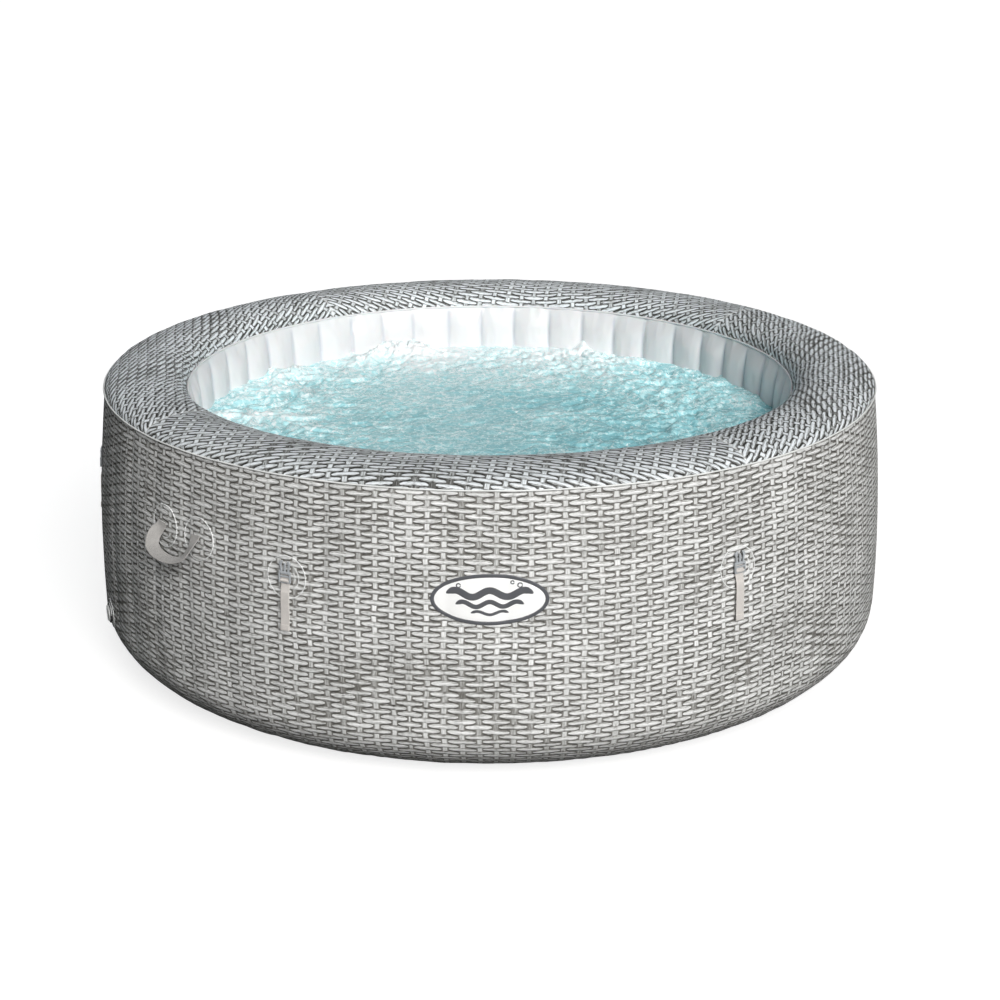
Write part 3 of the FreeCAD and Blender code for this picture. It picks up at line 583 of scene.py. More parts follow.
def around(azimuth):
    """Azimuth counted from the front left seam, and a window that is 0 there and 1 away from it."""
    start = SEAM_AZIMUTHS[3] - 360.0
    turn = (np.asarray(azimuth) - start) % 360.0
    return start + turn, smoothstep(np.minimum(turn, 360.0 - turn), 0.0, 5.0)


def beam_offset(azimuth):
    """Degrees from the nearest inner beam, with the beams a little unevenly spaced."""
    turned, window = around(azimuth)
    uneven = turned + 0.5 * window * value_noise(turned / 11.0, 0.0, 3.0)
    return (uneven - BEAM_PHASE + BEAM_STEP / 2) % BEAM_STEP - BEAM_STEP / 2


def wall_relief(azimuth, z):
    """How far the wall's face stands out from its plain shape: grooves at the beams and soft swells."""
    arc = np.radians(beam_offset(azimuth)) * WALL_R
    azimuth, window = around(azimuth)
    tied = smoothstep(z, 0.04, 0.16) * (0.55 + 0.45 * smoothstep(z, OUTER_SEAM[1], OUTER_SEAM[1] - 0.06))
    strength = 1.0 + 0.45 * window * value_noise(azimuth / 6.0, z * 5.0, 1.0)
    groove = -0.0026 / (1.0 + (arc / 0.016) ** 2) * tied * strength
    under_seam = np.maximum(OUTER_SEAM[1] - z, 0.0)
    pucker = 0.0011 * np.exp(-under_seam / 0.022) * value_noise(azimuth * 1.15, under_seam * 18.0, 2.0)
    foot = 0.0014 * np.exp(-np.maximum(z - 0.01, 0.0) / 0.05) * value_noise(azimuth * 0.9, z * 9.0, 4.0)
    swell = 0.0007 * layered_noise(azimuth / 5.0, z * 7.0, 3, 5.0)
    return groove + window * (pucker + foot + swell) - 0.0006


def build_beams():
    """The inner webs, seen only if the skins are taken off: one thin sheet each, clear of both walls."""
    low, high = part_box("beams")
    heights = np.linspace(low.z, high.z, 9)
    across = np.linspace(0.0, 1.0, 7)[None, :]
    inner = (liner_radius(heights) + 0.006)[:, None]
    outer = (wall_radius(heights) - 0.008)[:, None]
    r = inner + (outer - inner) * across
    azimuths = BEAM_PHASE + BEAM_STEP * np.arange(round(360.0 / BEAM_STEP))
    sheets = [grid_mesh("beam", polar(r, azimuth, heights[:, None])) for azimuth in azimuths]
    piece = add_mesh("beam_webs", joined("beam_webs", sheets), INNER_PVC)
    thick = piece.modifiers.new("sheet", "SOLIDIFY")
    thick.thickness = 0.001
    thick.offset = 0.0
    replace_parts(piece, "beams")


def open_ducts(mesh):
    """Clear a skin inside each duct at the back, where the duct's flange or wall hides the edge."""
    openings = []
    # each opening's width as a share of its duct's flange
    tube_shares = {"air_duct": 0.58, "return_duct": 0.58, "suction_duct": 0.58, "drain_duct": 0.52}
    for node, share in tube_shares.items():
        low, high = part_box(node)
        openings.append(((low.x + high.x) / 2, (low.z + high.z) / 2, share * (high.x - low.x) / 2))
    drop_faces(mesh, lambda c: c.y > 0 and any(math.hypot(c.x - x, c.z - z) < r for x, z, r in openings))


def stakes(azimuth):
    """The wall print's coordinate along its rows, in stakes from the mirrored column."""
    return np.radians(azimuth - MIRROR_AZIMUTH) * WALL_R / STAKE_PITCH


def build_walls():
    """Four printed wall panels between the mitred seams."""
    profile, distance = resample(wall_profile(), MESH_STEP)
    for index, seam in enumerate(SEAM_AZIMUTHS):
        start = seam if seam < 300.0 else seam - 360.0
        azimuths = start + np.linspace(0.0, 90.0, round(math.radians(90.0) * WALL_R / MESH_STEP) + 1)
        relief = wall_relief(azimuths[None, :], profile[:, 1:])
        points = revolve(profile, azimuths, relief)
        mesh = grid_mesh(f"wall_panel_{index + 1}", points, fields={
            "weave_u": stakes(azimuths)[None, :],
            "weave_v": (distance[:, None] - distance[-1]) / ROW_PITCH,
        })
        if index == 1:
            open_ducts(mesh)
        piece = add_mesh(f"wall_panel_{index + 1}", mesh, WICKER)
        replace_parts(piece, f"outer_wall_{index + 1}")


def ring_relief(azimuth, distance, length):
    """Puckers beside both seams of the ring and a soft unevenness between them."""
    from_outer, from_inner = distance, length - distance
    arc = np.radians(beam_offset(azimuth)) * INNER_SEAM[0]
    azimuth, window = around(azimuth)
    outer = 0.0010 * np.exp(-from_outer / 0.016) * value_noise(azimuth * 1.15, from_outer * 18.0, 2.0)
    inner = 0.0013 * np.exp(-from_inner / 0.020) * value_noise(azimuth * 0.8, from_inner * 20.0, 6.0)
    notch = -0.0018 * np.exp(-from_inner / 0.022) / (1.0 + (arc / 0.010) ** 2)
    swell = 0.0009 * layered_noise(azimuth / 4.0, distance * 9.0, 3, 7.0)
    return notch + window * (outer + inner + swell) - 0.0010


def build_ring():
    """Four printed ring panels; the rows of the print run straight, so they meet in mitres."""
    profile, distance = resample(ring_profile(), MESH_STEP * 0.85)
    apex = distance[np.argmax(profile[:, 1])]
    flat_r = APEX_R + apex - distance
    for index, start in enumerate(SEAM_AZIMUTHS):
        turn = np.linspace(-45.0, 45.0, round(math.radians(90.0) * WALL_R / MESH_STEP) + 1)
        azimuths = start + 45.0 + turn
        to_seam = np.radians(45.0 - np.abs(turn))[None, :] * flat_r[:, None]
        dip = -0.0012 * np.exp(-(to_seam / 0.005) ** 2)
        relief = ring_relief(azimuths[None, :], distance[:, None], distance[-1]) + dip
        points = revolve(profile, azimuths, relief)
        angle = np.radians(turn)[None, :]
        mesh = grid_mesh(f"ring_panel_{index + 1}", points, fields={
            "weave_u": flat_r[:, None] * np.sin(angle) / STAKE_PITCH,
            "weave_v": flat_r[:, None] * np.cos(angle) / ROW_PITCH,
            "rim": 0.55 * np.exp(-(to_seam / 0.0022) ** 2),
        })
        piece = add_mesh(f"ring_panel_{index + 1}", mesh, WICKER_RING)
        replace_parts(piece, f"top_ring_{index + 1}")


def liner_radius(z):
    """Plain radius of the liner at a height."""
    along = np.clip((INNER_SEAM[1] - z) / (INNER_SEAM[1] - FLOOR_Z), 0.0, 1.0)
    return INNER_SEAM[0] - (INNER_SEAM[0] - LINER_R) * np.sqrt(np.sin(math.pi * along))


def build_liner():
    """The white liner: pillows between the beams, gathered under the piping."""
    above = np.arange(INNER_SEAM[1], WATER_Z - 0.03, -0.0042)
    below = np.linspace(above[-1], FLOOR_Z, 26)[1:]
    z = np.concatenate([above, below])
    profile = np.stack([liner_radius(z), z], 1)
    turned, window = around(np.arange(0.0, 360.0, 0.36))
    azimuths = turned[None, :]
    down = (INNER_SEAM[1] - z)[:, None]
    offset = beam_offset(azimuths) / (BEAM_STEP / 2)
    wander = offset + 0.10 * window * value_noise(azimuths / BEAM_STEP, down * 14.0, 8.0)
    pillow = np.abs(np.sin(np.clip(np.abs(wander), 0.0, 1.0) * math.pi / 2)) ** 0.62
    depth = 0.0035 + 0.0110 * smoothstep(down, 0.0, 0.06)
    depth = depth * (1.0 - 0.8 * smoothstep(z[:, None], 0.10, FLOOR_Z))
    folds = 0.0016 * np.exp(-down / 0.030) * value_noise(azimuths * 0.9, down * 16.0, 9.0)
    slack = 0.0014 * layered_noise(azimuths / 2.6, down * 13.0, 3, 10.0) * smoothstep(down, 0.0, 0.03)
    relief = depth * pillow + window * (folds + slack) - 0.003
    # painted shade along the recessed crease at each beam, from just under the piping down
    crease_shade = np.exp(-(offset * BEAM_STEP / 2 / 0.32) ** 2) * smoothstep(down, 0.0, 0.02)
    points = revolve(profile, turned, relief)
    mesh = grid_mesh("liner", points, wrap=True, fields={"crease_shade": crease_shade})
    open_ducts(mesh)
    piece = add_mesh("liner", mesh, WHITE_PVC)
    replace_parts(piece, "inner_wall")


def bead(name, r, z, width, height, material, node, wave):
    """A soft welded bead along a seam circle, with a slightly uneven edge."""
    azimuths, window = around(np.arange(0.0, 360.0, 0.4))
    section = full_turn(12)
    swell = 1.0 + 0.10 * window * value_noise(azimuths * 0.7, 0.0, wave)
    lift = 0.0004 * window * value_noise(azimuths * 0.25, 0.0, wave + 1.0)
    radius = r + width * np.cos(section)[:, None] * swell[None, :]
    level = z + lift[None, :] + height * np.sin(section)[:, None] * swell[None, :]
    points = polar(radius, azimuths[None, :], level)
    mesh = closed_skin(grid_mesh(name, np.concatenate([points, points[:1]]), wrap=True))
    piece = add_mesh(name, mesh, material)
    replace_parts(piece, node)


# ---- water --------------------
def build_water():
    """The bubbling surface: a disc of choppy water with mounds over the air jets."""
    count = 290
    side = np.linspace(-1.0, 1.0, count)
    across, along = np.meshgrid(side, side)
    radius = LINER_R + 0.009
    x = radius * across * np.sqrt(1.0 - along ** 2 / 2)
    y = radius * along * np.sqrt(1.0 - across ** 2 / 2)
    reach = np.hypot(x, y) / radius
    warp_x = x + 0.03 * layered_noise(x * 9.0, y * 9.0, 2, 20.0)
    warp_y = y + 0.03 * layered_noise(x * 9.0, y * 9.0, 2, 30.0)
    broad = layered_noise(warp_x * 6.0, warp_y * 6.0, 2, 11.0)
    chop = 1.0 - np.abs(layered_noise(warp_x * 19.0, warp_y * 19.0, 3, 12.0))
    ripple = 1.0 - np.abs(layered_noise(warp_x * 60.0, warp_y * 60.0, 3, 14.0))
    jets = smoothstep(reach, 0.45, 0.80) * (1.0 - 0.5 * smoothstep(reach, 0.90, 1.0))
    boil = 0.55 + 0.75 * jets + 0.35 * value_noise(x * 3.0, y * 3.0, 15.0)
    height = boil * (0.004 * broad + 0.0085 * (chop - 0.55) + 0.0050 * (ripple - 0.5))
    height = height * (1.0 - 0.6 * smoothstep(reach, 0.93, 1.0))
    lumps = value_noise(x * 11.0, y * 5.0, 17.0) + 0.5 * value_noise(x * 30.0, y * 14.0, 18.0)
    at_rear_edge = smoothstep(reach, 0.80, 0.94) * smoothstep(y / radius, 0.0, 0.55)
    mounds = smoothstep(lumps, 0.15, 1.1) * at_rear_edge
    height = height + 0.030 * mounds * (0.75 + 0.5 * (ripple - 0.5))
    foam_and_reflection = 0.18 + 0.05 * jets + 13.0 * height + 0.12 * broad
    left_back = smoothstep(0.45 * y - 0.55 * x, -0.25, 0.50)
    # whiter towards the back: froth there, and partly painted reflection of the sky on the far water
    far_froth_and_reflection = smoothstep(y / radius, 0.25, 0.95)
    foam_and_reflection = foam_and_reflection + 0.26 * left_back + 0.34 * far_froth_and_reflection - 0.04
    points = np.stack([x, y, WATER_Z + height], -1)
    mesh = grid_mesh("water_surface", points, fields={"foam_and_reflection": np.clip(foam_and_reflection, 0.0, 1.0)})
    add_mesh("water_surface", mesh, WATER)


# ---- things on the wall --------------------
def wall_slope(z):
    """How fast the wall's radius grows with height."""
    return (wall_radius(z + 0.001) - wall_radius(z - 0.001)) / 0.002


def wall_matrix(azimuth, z):
    """Frame on the wall's plain face: X right, Y up along the wall, Z out."""
    angle = math.radians(azimuth)
    out = Vector((math.sin(angle), -math.cos(angle), 0.0))
    right = Vector((math.cos(angle), math.sin(angle), 0.0))
    up = (Vector((0.0, 0.0, 1.0)) + out * float(wall_slope(z))).normalized()
    normal = right.cross(up)
    matrix = Matrix((right, up, normal)).transposed().to_4x4()
    matrix.translation = out * float(wall_radius(z)) + Vector((0.0, 0.0, z))
    return matrix


def on_wall(azimuth, right, z, lift):
    """Points that follow the wall's uneven face: right of an azimuth, at a height, lifted off it."""
    azimuths = azimuth + np.degrees(right / WALL_R)
    slope = wall_slope(z)
    size = np.sqrt(1.0 + slope * slope)
    out = wall_relief(azimuths, z) + lift
    return polar(wall_radius(z) + out / size, azimuths, z - out * slope / size)


def wall_weave(azimuth, right, z):
    """The wall print's coordinates at points on the wall."""
    profile, distance = resample(wall_profile(), MESH_STEP)
    along = np.interp(z, profile[:, 1], distance) - distance[-1]
    return stakes(azimuth + np.degrees(right / WALL_R)), along / ROW_PITCH


def weld_patch(name, azimuth, z, radius, arcs):
    """A round printed patch with a pale welded rim, and inner weld arcs (radius, start, end degrees)."""
    r = np.concatenate([np.linspace(0.0, 0.93, 30), np.linspace(0.94, 1.0, 8)])[:, None] * radius
    turn = full_turn(128)[None, :]
    right, up = r * np.cos(turn), r * np.sin(turn)
    rim = np.exp(-((r - radius * 0.968) / 0.0011) ** 2) + 0.0 * turn
    for arc_radius, start, end in arcs:
        near = np.exp(-((r - arc_radius) / 0.0012) ** 2)
        degrees = (np.degrees(turn) - start) % 360.0
        span = smoothstep(degrees, 0.0, 15.0) * smoothstep(degrees, end - start, end - start - 15.0)
        rim = np.maximum(rim, near * span * 0.9)
    edge = smoothstep(r, radius, radius * 0.985)
    lift = 0.00095 * edge + 0.0009 * rim
    u, v = wall_weave(azimuth, right, z + up)
    mesh = grid_mesh(name, on_wall(azimuth, right, z + up, lift), wrap=True, fields={
        "weave_u": u, "weave_v": v, "rim": np.clip(rim * 1.3, 0.0, 1.0),
    })
    return closed_skin(mesh)


def oval_skin(name, inner, outer, lift):
    """A skin between two ovals (half width, half height) about the badge's middle."""
    ring = inner[0] > 0.01
    share = np.linspace(0.0, 1.0, 9 if ring else 26)[:, None]
    turn = full_turn(180)[None, :]
    half_width = inner[0] + (outer[0] - inner[0]) * share
    half_height = inner[1] + (outer[1] - inner[1]) * share
    edge = smoothstep(share, 1.0, 0.85) * (smoothstep(share, 0.0, 0.15) if ring else 1.0)
    right, up = half_width * np.cos(turn), half_height * np.sin(turn)
    points = on_wall(0.0, right, BADGE_Z + up, lift * (0.35 + 0.65 * edge))
    return closed_skin(grid_mesh(name, points, wrap=True))


def badge_stroke(line, width):
    """A printed line on the badge's field, through (right, up) points, with tapered ends."""
    line, distance = resample(np.asarray(line, float), 0.0012)
    tangent = directions(line)
    from_end = np.minimum(distance, distance[-1] - distance)
    half = width / 2 * np.sqrt(np.clip(from_end / width, 0.02, 1.0))
    share = np.linspace(-1.0, 1.0, 5)[None, :]
    across = share * half[:, None]
    right = line[:, :1] - tangent[:, 1:] * across
    up = line[:, 1:] + tangent[:, :1] * across
    crown = 0.0010 + 0.00012 * (1.0 - share ** 2)
    return grid_mesh("stroke", on_wall(0.0, right, BADGE_Z + up, crown))


def build_badge():
    """The oval badge: dark rim, pale field, and plain waves and bubbles printed on it."""
    outer = (BADGE_HALF_WIDTH, BADGE_HALF_HEIGHT)
    inner = (BADGE_HALF_WIDTH - BADGE_RIM, BADGE_HALF_HEIGHT - BADGE_RIM)
    rim = oval_skin("badge_rim_skin", inner, outer, 0.0012)
    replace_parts(add_mesh("badge_rim_skin", rim, BADGE_DARK), "badge_rim")
    field = oval_skin("badge_field", (0.0001, 0.0001), (inner[0] + 0.0008, inner[1] + 0.0008), 0.0009)
    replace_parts(add_mesh("badge_field", field, BADGE_PALE), "badge_plate")
    waves = (    # half length, height, periods, level and line width
        (0.092, 0.0072, 2.5, 0.013, 0.0150),
        (0.072, 0.0055, 2.5, -0.010, 0.0100),
        (0.040, 0.0036, 1.5, -0.029, 0.0064),
    )
    bubbles = (    # right, up and radius
        (0.064, 0.0315, 0.0048),
        (0.048, 0.0375, 0.0034),
        (-0.066, 0.0305, 0.0042),
    )
    strokes = []
    for reach, height, periods, level, width in waves:
        right = np.linspace(-reach, reach, 120)
        phase = (right / reach + 1.0) * math.pi * periods
        strokes.append(badge_stroke(np.stack([right, level + height * np.sin(phase)], 1), width))
    turn = np.linspace(0.0, 2.0 * math.pi, 40)
    for right, up, size in bubbles:
        circle = np.stack([right + size * np.cos(turn), up + size * np.sin(turn)], 1)
        strokes.append(badge_stroke(circle, BUBBLE_LINE))
    add_mesh("badge_waves", joined("badge_waves", strokes), BADGE_DARK)


def smooth_path(points, count):
    """Catmull-Rom curve through points, ends included."""
    points = np.asarray(points, float)
    padded = np.concatenate([2 * points[:1] - points[1:2], points, 2 * points[-1:] - points[-2:-1]])
    place = np.linspace(0.0, len(points) - 1.0, count)
    start = np.minimum(place.astype(int), len(points) - 2)
    t = (place - start)[:, None]
    a, b, c, d = (padded[start + k] for k in range(4))
    square, cube = 2 * a - 5 * b + 4 * c - d, 3 * b - a - 3 * c + d
    return 0.5 * (2 * b + (c - a) * t + square * t ** 2 + cube * t ** 3)


def ribbon(name, centres, normals, width, thickness):
    """A webbing strap swept along a path, its broad face towards the normals."""
    tangent = directions(centres)
    normals = unit(normals - tangent * (normals * tangent).sum(1)[:, None])
    side = np.cross(tangent, normals)
    half = width / 2
    flat = half - thickness * 0.4
    across = np.concatenate([[-half], np.linspace(-flat, flat, 15), [half]])
    lift = np.where(np.abs(across) >= half, 0.15, 0.5) * thickness
    section = np.concatenate([across, across[::-1]])
    height = np.concatenate([lift, -lift[::-1]])
    points = centres[:, None] + side[:, None] * section[:, None] + normals[:, None] * height[:, None]
    mesh = grid_mesh(name, points, wrap=True, fields={
        "strap_u": section[None, :] / WEBBING_THREAD,
        "strap_v": lengths_along(centres)[:, None] / WEBBING_THREAD,
    })
    with editing(mesh) as work:
        work.verts.ensure_lookup_table()
        corners = list(work.verts)
        work.faces.new(corners[:len(section)])
        work.faces.new(corners[:-len(section) - 1:-1])
        bmesh.ops.recalc_face_normals(work, faces=work.faces)
    return mesh


def plate(outlines, low, high, bevel):
    """A flat moulding with rounded edges: the first outline is its edge, the others are holes."""
    curve = bpy.data.curves.new("plate", "CURVE")
    curve.dimensions = "2D"
    curve.fill_mode = "BOTH"
    curve.extrude = (high - low) / 2 - bevel
    curve.bevel_depth = bevel
    curve.bevel_resolution = 2
    curve.offset = -bevel
    for outline in outlines:
        line = curve.splines.new("POLY")
        line.points.add(len(outline) - 1)
        for point, (x, y) in zip(line.points, outline):
            point.co = (x, y, 0.0, 1.0)
        line.use_cyclic_u = True
    shown = place_object("plate", curve)
    mesh = bpy.data.meshes.new_from_object(shown.evaluated_get(bpy.context.evaluated_depsgraph_get()))
    bpy.data.objects.remove(shown)
    mesh.transform(Matrix.Translation((0.0, 0.0, (low + high) / 2)))
    return mesh


def rounded(corners, radius, steps=5):
    """The outline with each corner turned into an arc."""
    outline = []
    for index, corner in enumerate(corners):
        here = Vector(corner)
        before = Vector(corners[index - 1]) - here
        after = Vector(corners[(index + 1) % len(corners)]) - here
        reach = min(radius, before.length * 0.49, after.length * 0.49)
        start, end = here + before.normalized() * reach, here + after.normalized() * reach
        for step in range(steps + 1):
            t = step / steps
            outline.append(tuple(start * (1 - t) ** 2 + here * 2 * t * (1 - t) + end * t ** 2))
    return outline


def box_outline(x0, x1, y0, y1, radius):
    """A rectangle with rounded corners."""
    return rounded([(x0, y0), (x1, y0), (x1, y1), (x0, y1)], radius)


def rod(r, x0, x1, y, z):
    """A round bar along X with softened ends."""
    turn = full_turn(20)[None, :]
    x = np.array([x0, x0, x0 + 0.2 * r, x1 - 0.2 * r, x1, x1])[:, None]
    size = np.array([0.0, 0.8, 1.0, 1.0, 0.8, 0.0])[:, None] * r
    points = np.stack([x + 0.0 * turn, y + size * np.cos(turn), z + size * np.sin(turn)], -1)
    return closed_skin(grid_mesh("rod", points, wrap=True))


def buckle_mesh():
    """Male side-release buckle: ladder frame for the webbing, two springy prongs and a centre guide."""
    half, top = 0.0145, 0.0205
    low, high = 0.0031, 0.0081
    frame_outline = box_outline(-half, half, -0.0046, top, 0.0022)
    lower_slot = box_outline(-half + 0.003, half - 0.003, -0.0033, 0.0078, 0.0008)
    upper_slot = box_outline(-half + 0.003, half - 0.003, 0.0112, 0.0150, 0.0008)
    guide = box_outline(-0.0022, 0.0022, top - 0.002, 0.0395, 0.0018)
    rib = box_outline(-half + 0.004, half - 0.004, 0.0163, 0.0187, 0.0008)
    prong = [
        (0.0062, 0.019), (0.0106, 0.019), (0.0112, 0.027), (0.0124, 0.0335),
        (0.0142, 0.0362), (0.0136, 0.0395), (0.0108, 0.0435), (0.0072, 0.0448),
        (0.0052, 0.0432), (0.0074, 0.0385), (0.0084, 0.0335), (0.0078, 0.027),
    ]
    parts = [plate([frame_outline, lower_slot, upper_slot], low, high, 0.0007)]
    parts.append(plate([guide], low + 0.0012, high - 0.0012, 0.0005))
    for side in (-1, 1):
        corners = [(side * x, y) for x, y in prong]
        parts.append(plate([rounded(corners[::side], 0.0016)], low + 0.0006, high - 0.0006, 0.0006))
    parts.append(plate([rib], high - 0.0003, high + 0.0006, 0.0003))
    parts.append(rod(0.0016, -half + 0.0005, half - 0.0005, 0.0, 0.0056))
    return joined("buckle", parts)


def bar_arc(radius, start, end):
    """(up, out) points around a clip's lower bar; angles in degrees, 0 straight out from the wall."""
    angles = np.radians(np.linspace(start, end, 22))
    return [(radius * math.sin(a), CLIP_BAR_OUT + radius * math.cos(a)) for a in angles]


def clip_strap(name, line, bow=0.0):
    """A clip's webbing along (up, out) points, bowed sideways between its ends."""
    centres, distance = resample(np.array([(0.0, up, out) for up, out in line]), 0.0011)
    centres[:, 0] = bow * np.sin(math.pi * distance / distance[-1])
    normals = np.cross(np.gradient(centres, axis=0), np.array([[1.0, 0.0, 0.0]]))
    return ribbon(name, centres, normals, STRAP_W, STRAP_T)


def stitch_rows(centres, out, side, half, lift):
    """Thread stitches across a strap at each centre: short raised pills side by side."""
    parts = []
    for centre in centres:
        for shift in np.arange(-half, half + 1e-6, STITCH_PITCH):
            middle = centre + side * shift + out * lift
            parts.append(pill(middle - side * STITCH_HALF, middle + side * STITCH_HALF, STITCH_R))
    return parts


def pill(start, end, r):
    """A thread stitch: a thin bar with tapered ends."""
    start, end = np.asarray(start, float), np.asarray(end, float)
    along = (end - start) / np.linalg.norm(end - start)
    helper = np.array([0.0, 0.0, 1.0]) if abs(along[2]) < 0.8 else np.array([1.0, 0.0, 0.0])
    first = np.cross(along, helper)
    first /= np.linalg.norm(first)
    second = np.cross(along, first)
    turn = full_turn(6)[None, :, None]
    ring = first * np.cos(turn) + second * np.sin(turn)
    place = np.array([0.0, 0.18, 0.82, 1.0])[:, None, None]
    size = np.array([0.25, 1.0, 1.0, 0.25])[:, None, None] * r
    return closed_skin(grid_mesh("pill", start + (end - start) * place + ring * size, wrap=True))


def tail_parts(index):
    """The loose webbing tail: from behind the buckle down the wall in a slight wave, hemmed and stitched."""
    front = CLIP_BAR_OUT - 0.0006
    wave = 0.0007 + 0.0002 * (index % 3)
    emerging = [(-0.0050, 0.0017), (-0.0090, 0.0026), (-0.0150, 0.0038), (-0.0215, 0.0046)]
    down = np.linspace(0.24, 1.0, 22)
    hang = [(-TAIL_LENGTH * t, front + wave * math.sin(5.0 * t)) for t in down]
    end = hang[-1][1]
    fold = [(-TAIL_LENGTH - 0.0005, end + 0.0006), (-TAIL_LENGTH, end + 0.0013)]
    hem = [(-TAIL_LENGTH + 0.006, end + 0.0014), (-TAIL_LENGTH + 0.012, end + 0.0013)]
    strap = clip_strap("tail", emerging + hang + fold + hem, bow=0.0012 - 0.0008 * (index % 2))
    face = end + 0.0014 + STRAP_T / 2
    rows = [np.array([0.0, -TAIL_LENGTH + rise, face]) for rise in (0.004, 0.0085)]
    out, side = np.array([0.0, 0.0, 1.0]), np.array([1.0, 0.0, 0.0])
    return [strap] + stitch_rows(rows, out, side, STRAP_W / 2 - 0.003, 0.0001)


def joint_azimuth(joint):
    """Where round the tub a joint is."""
    x, y, _ = joint["pos_m"]
    return math.degrees(math.atan2(x, -y))


def build_clips(joints):
    """The cover clips: printed patch, anchor loop, buckle and loose webbing tail."""
    buckle = buckle_mesh()
    anchor_line = [(0.014, 0.0018), (0.0095, 0.0018), (0.0055, 0.0033)] + bar_arc(0.00255, 155.0, 505.0)
    anchor = clip_strap("anchor", anchor_line)
    arcs = [(0.031, 300.0, 420.0), (0.022, 320.0, 400.0)]
    patches, anchors = [], []
    index = 1
    while f"clip_{index}_flip" in joints:
        azimuth = joint_azimuth(joints[f"clip_{index}_flip"])
        place = wall_matrix(azimuth, CLIP_Z)
        patches.append(weld_patch("patch", azimuth, CLIP_Z + CLIP_PATCH_RISE, CLIP_PATCH_R, arcs))
        anchors.append(joined("anchor", [anchor], place))
        mesh = joined(f"buckle_{index}", [buckle], place, sharp=BUCKLE_SHARP)
        piece = add_mesh(f"buckle_{index}", mesh, BUCKLE, f"clip_{index}")
        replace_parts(piece, f"clip_{index}")
        mesh = joined(f"tail_webbing_{index}", tail_parts(index), place, sharp=WEBBING_SHARP)
        piece = add_mesh(f"tail_webbing_{index}", mesh, WEBBING, f"clip_tail_{index}")
        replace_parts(piece, f"clip_tail_{index}")
        index += 1
    mesh = joined("clip_patch_prints", patches)
    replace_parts(add_mesh("clip_patch_prints", mesh, WICKER), "clip_patches")
    mesh = joined("clip_anchor_loops", anchors, sharp=WEBBING_SHARP)
    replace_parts(add_mesh("clip_anchor_loops", mesh, WEBBING), "clip_anchors")


def handle_mesh(name, azimuth):
    """A handle's webbing: welded at both ends, standing out and drooping in between."""
    half = HANDLE_HALF
    legs = [    # away from the middle, up, out from the wall, and which way the broad face looks
        (half, 0.008, 0.0020, (0.0, 0.0, 1.0)),
        (half + 0.001, -0.003, 0.0060, (0.25, 0.35, 0.9)),
        (half + 0.003, -0.018, 0.0190, (0.75, 0.25, 0.6)),
        (half - 0.004, -0.037, 0.0300, (0.75, 0.45, 0.45)),
        (half - 0.023, -0.050, 0.0335, (0.35, 0.85, 0.35)),
        (0.012, -0.056, 0.0335, (0.0, 0.95, 0.3)),
    ]
    shift, twist = -0.007, 0.4    # the strap sits a little left of its patches, and its right leg twists less
    route = [(shift - away, up, out, facing) for away, up, out, facing in legs]
    for away, up, out, (nx, ny, nz) in reversed(legs):
        route.append((shift + away, up, out, (-twist * nx, ny, nz)))
    points, normals = [], []
    for right, up, out, facing in route:
        place = wall_matrix(azimuth + math.degrees(right / WALL_R), HANDLE_Z)
        points.append(place @ Vector((0.0, up, out)))
        normals.append(place.to_3x3() @ Vector(facing))
    count = 150
    centres = smooth_path(np.array(points), count)
    faces = smooth_path(np.array(normals), count)
    strap = ribbon(name, centres, faces, HANDLE_W, HANDLE_T)
    stitches = []
    for side in (-1, 1):
        place = wall_matrix(azimuth + math.degrees((shift + side * half) / WALL_R), HANDLE_Z)
        right, _, out = (np.array(place.to_3x3().col[axis]) for axis in range(3))
        rows = [np.array(place @ Vector((0.0, rise, 0.0021))) for rise in (0.0070, 0.0045)]
        stitches += stitch_rows(rows, out, right, HANDLE_W / 2 - 0.004, HANDLE_T / 2 - 0.0001)
    return joined(name, [strap] + stitches, sharp=WEBBING_SHARP)


def build_handles(joints):
    """The carry handles: two printed weld patches each, and the webbing grip, curved at its ends and left on
    no body.
    """
    arcs = [(0.036, 40.0, 140.0), (0.027, 200.0, 340.0)]
    index = 1
    while f"handle_{index}_swing" in joints:
        azimuth = joint_azimuth(joints[f"handle_{index}_swing"])
        patches = []
        for side in (-1, 1):
            end = azimuth + math.degrees(side * HANDLE_HALF / WALL_R)
            patches.append(weld_patch("patch", end, HANDLE_Z, HANDLE_PATCH_R, arcs))
        mesh = joined(f"handle_patch_prints_{index}", patches)
        piece = add_mesh(f"handle_patch_prints_{index}", mesh, WICKER)
        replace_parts(piece, f"handle_{index}_patches")
        name = f"handle_webbing_{index}"
        piece = add_mesh(name, handle_mesh(name, azimuth), WEBBING_DARK, body="")
        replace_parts(piece, f"handle_{index}", f"handle_{index}_tabs")
        place = wall_matrix(azimuth, HANDLE_Z)
        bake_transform(piece)
        index += 1


def build_valve_patch():
    """The printed patch that the inflation valve is welded to."""
    mesh = weld_patch("valve_patch_print", VALVE_AZIMUTH, VALVE_Z, VALVE_PATCH_R, [])
    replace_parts(add_mesh("valve_patch_print", mesh, WICKER), "valve_patch")


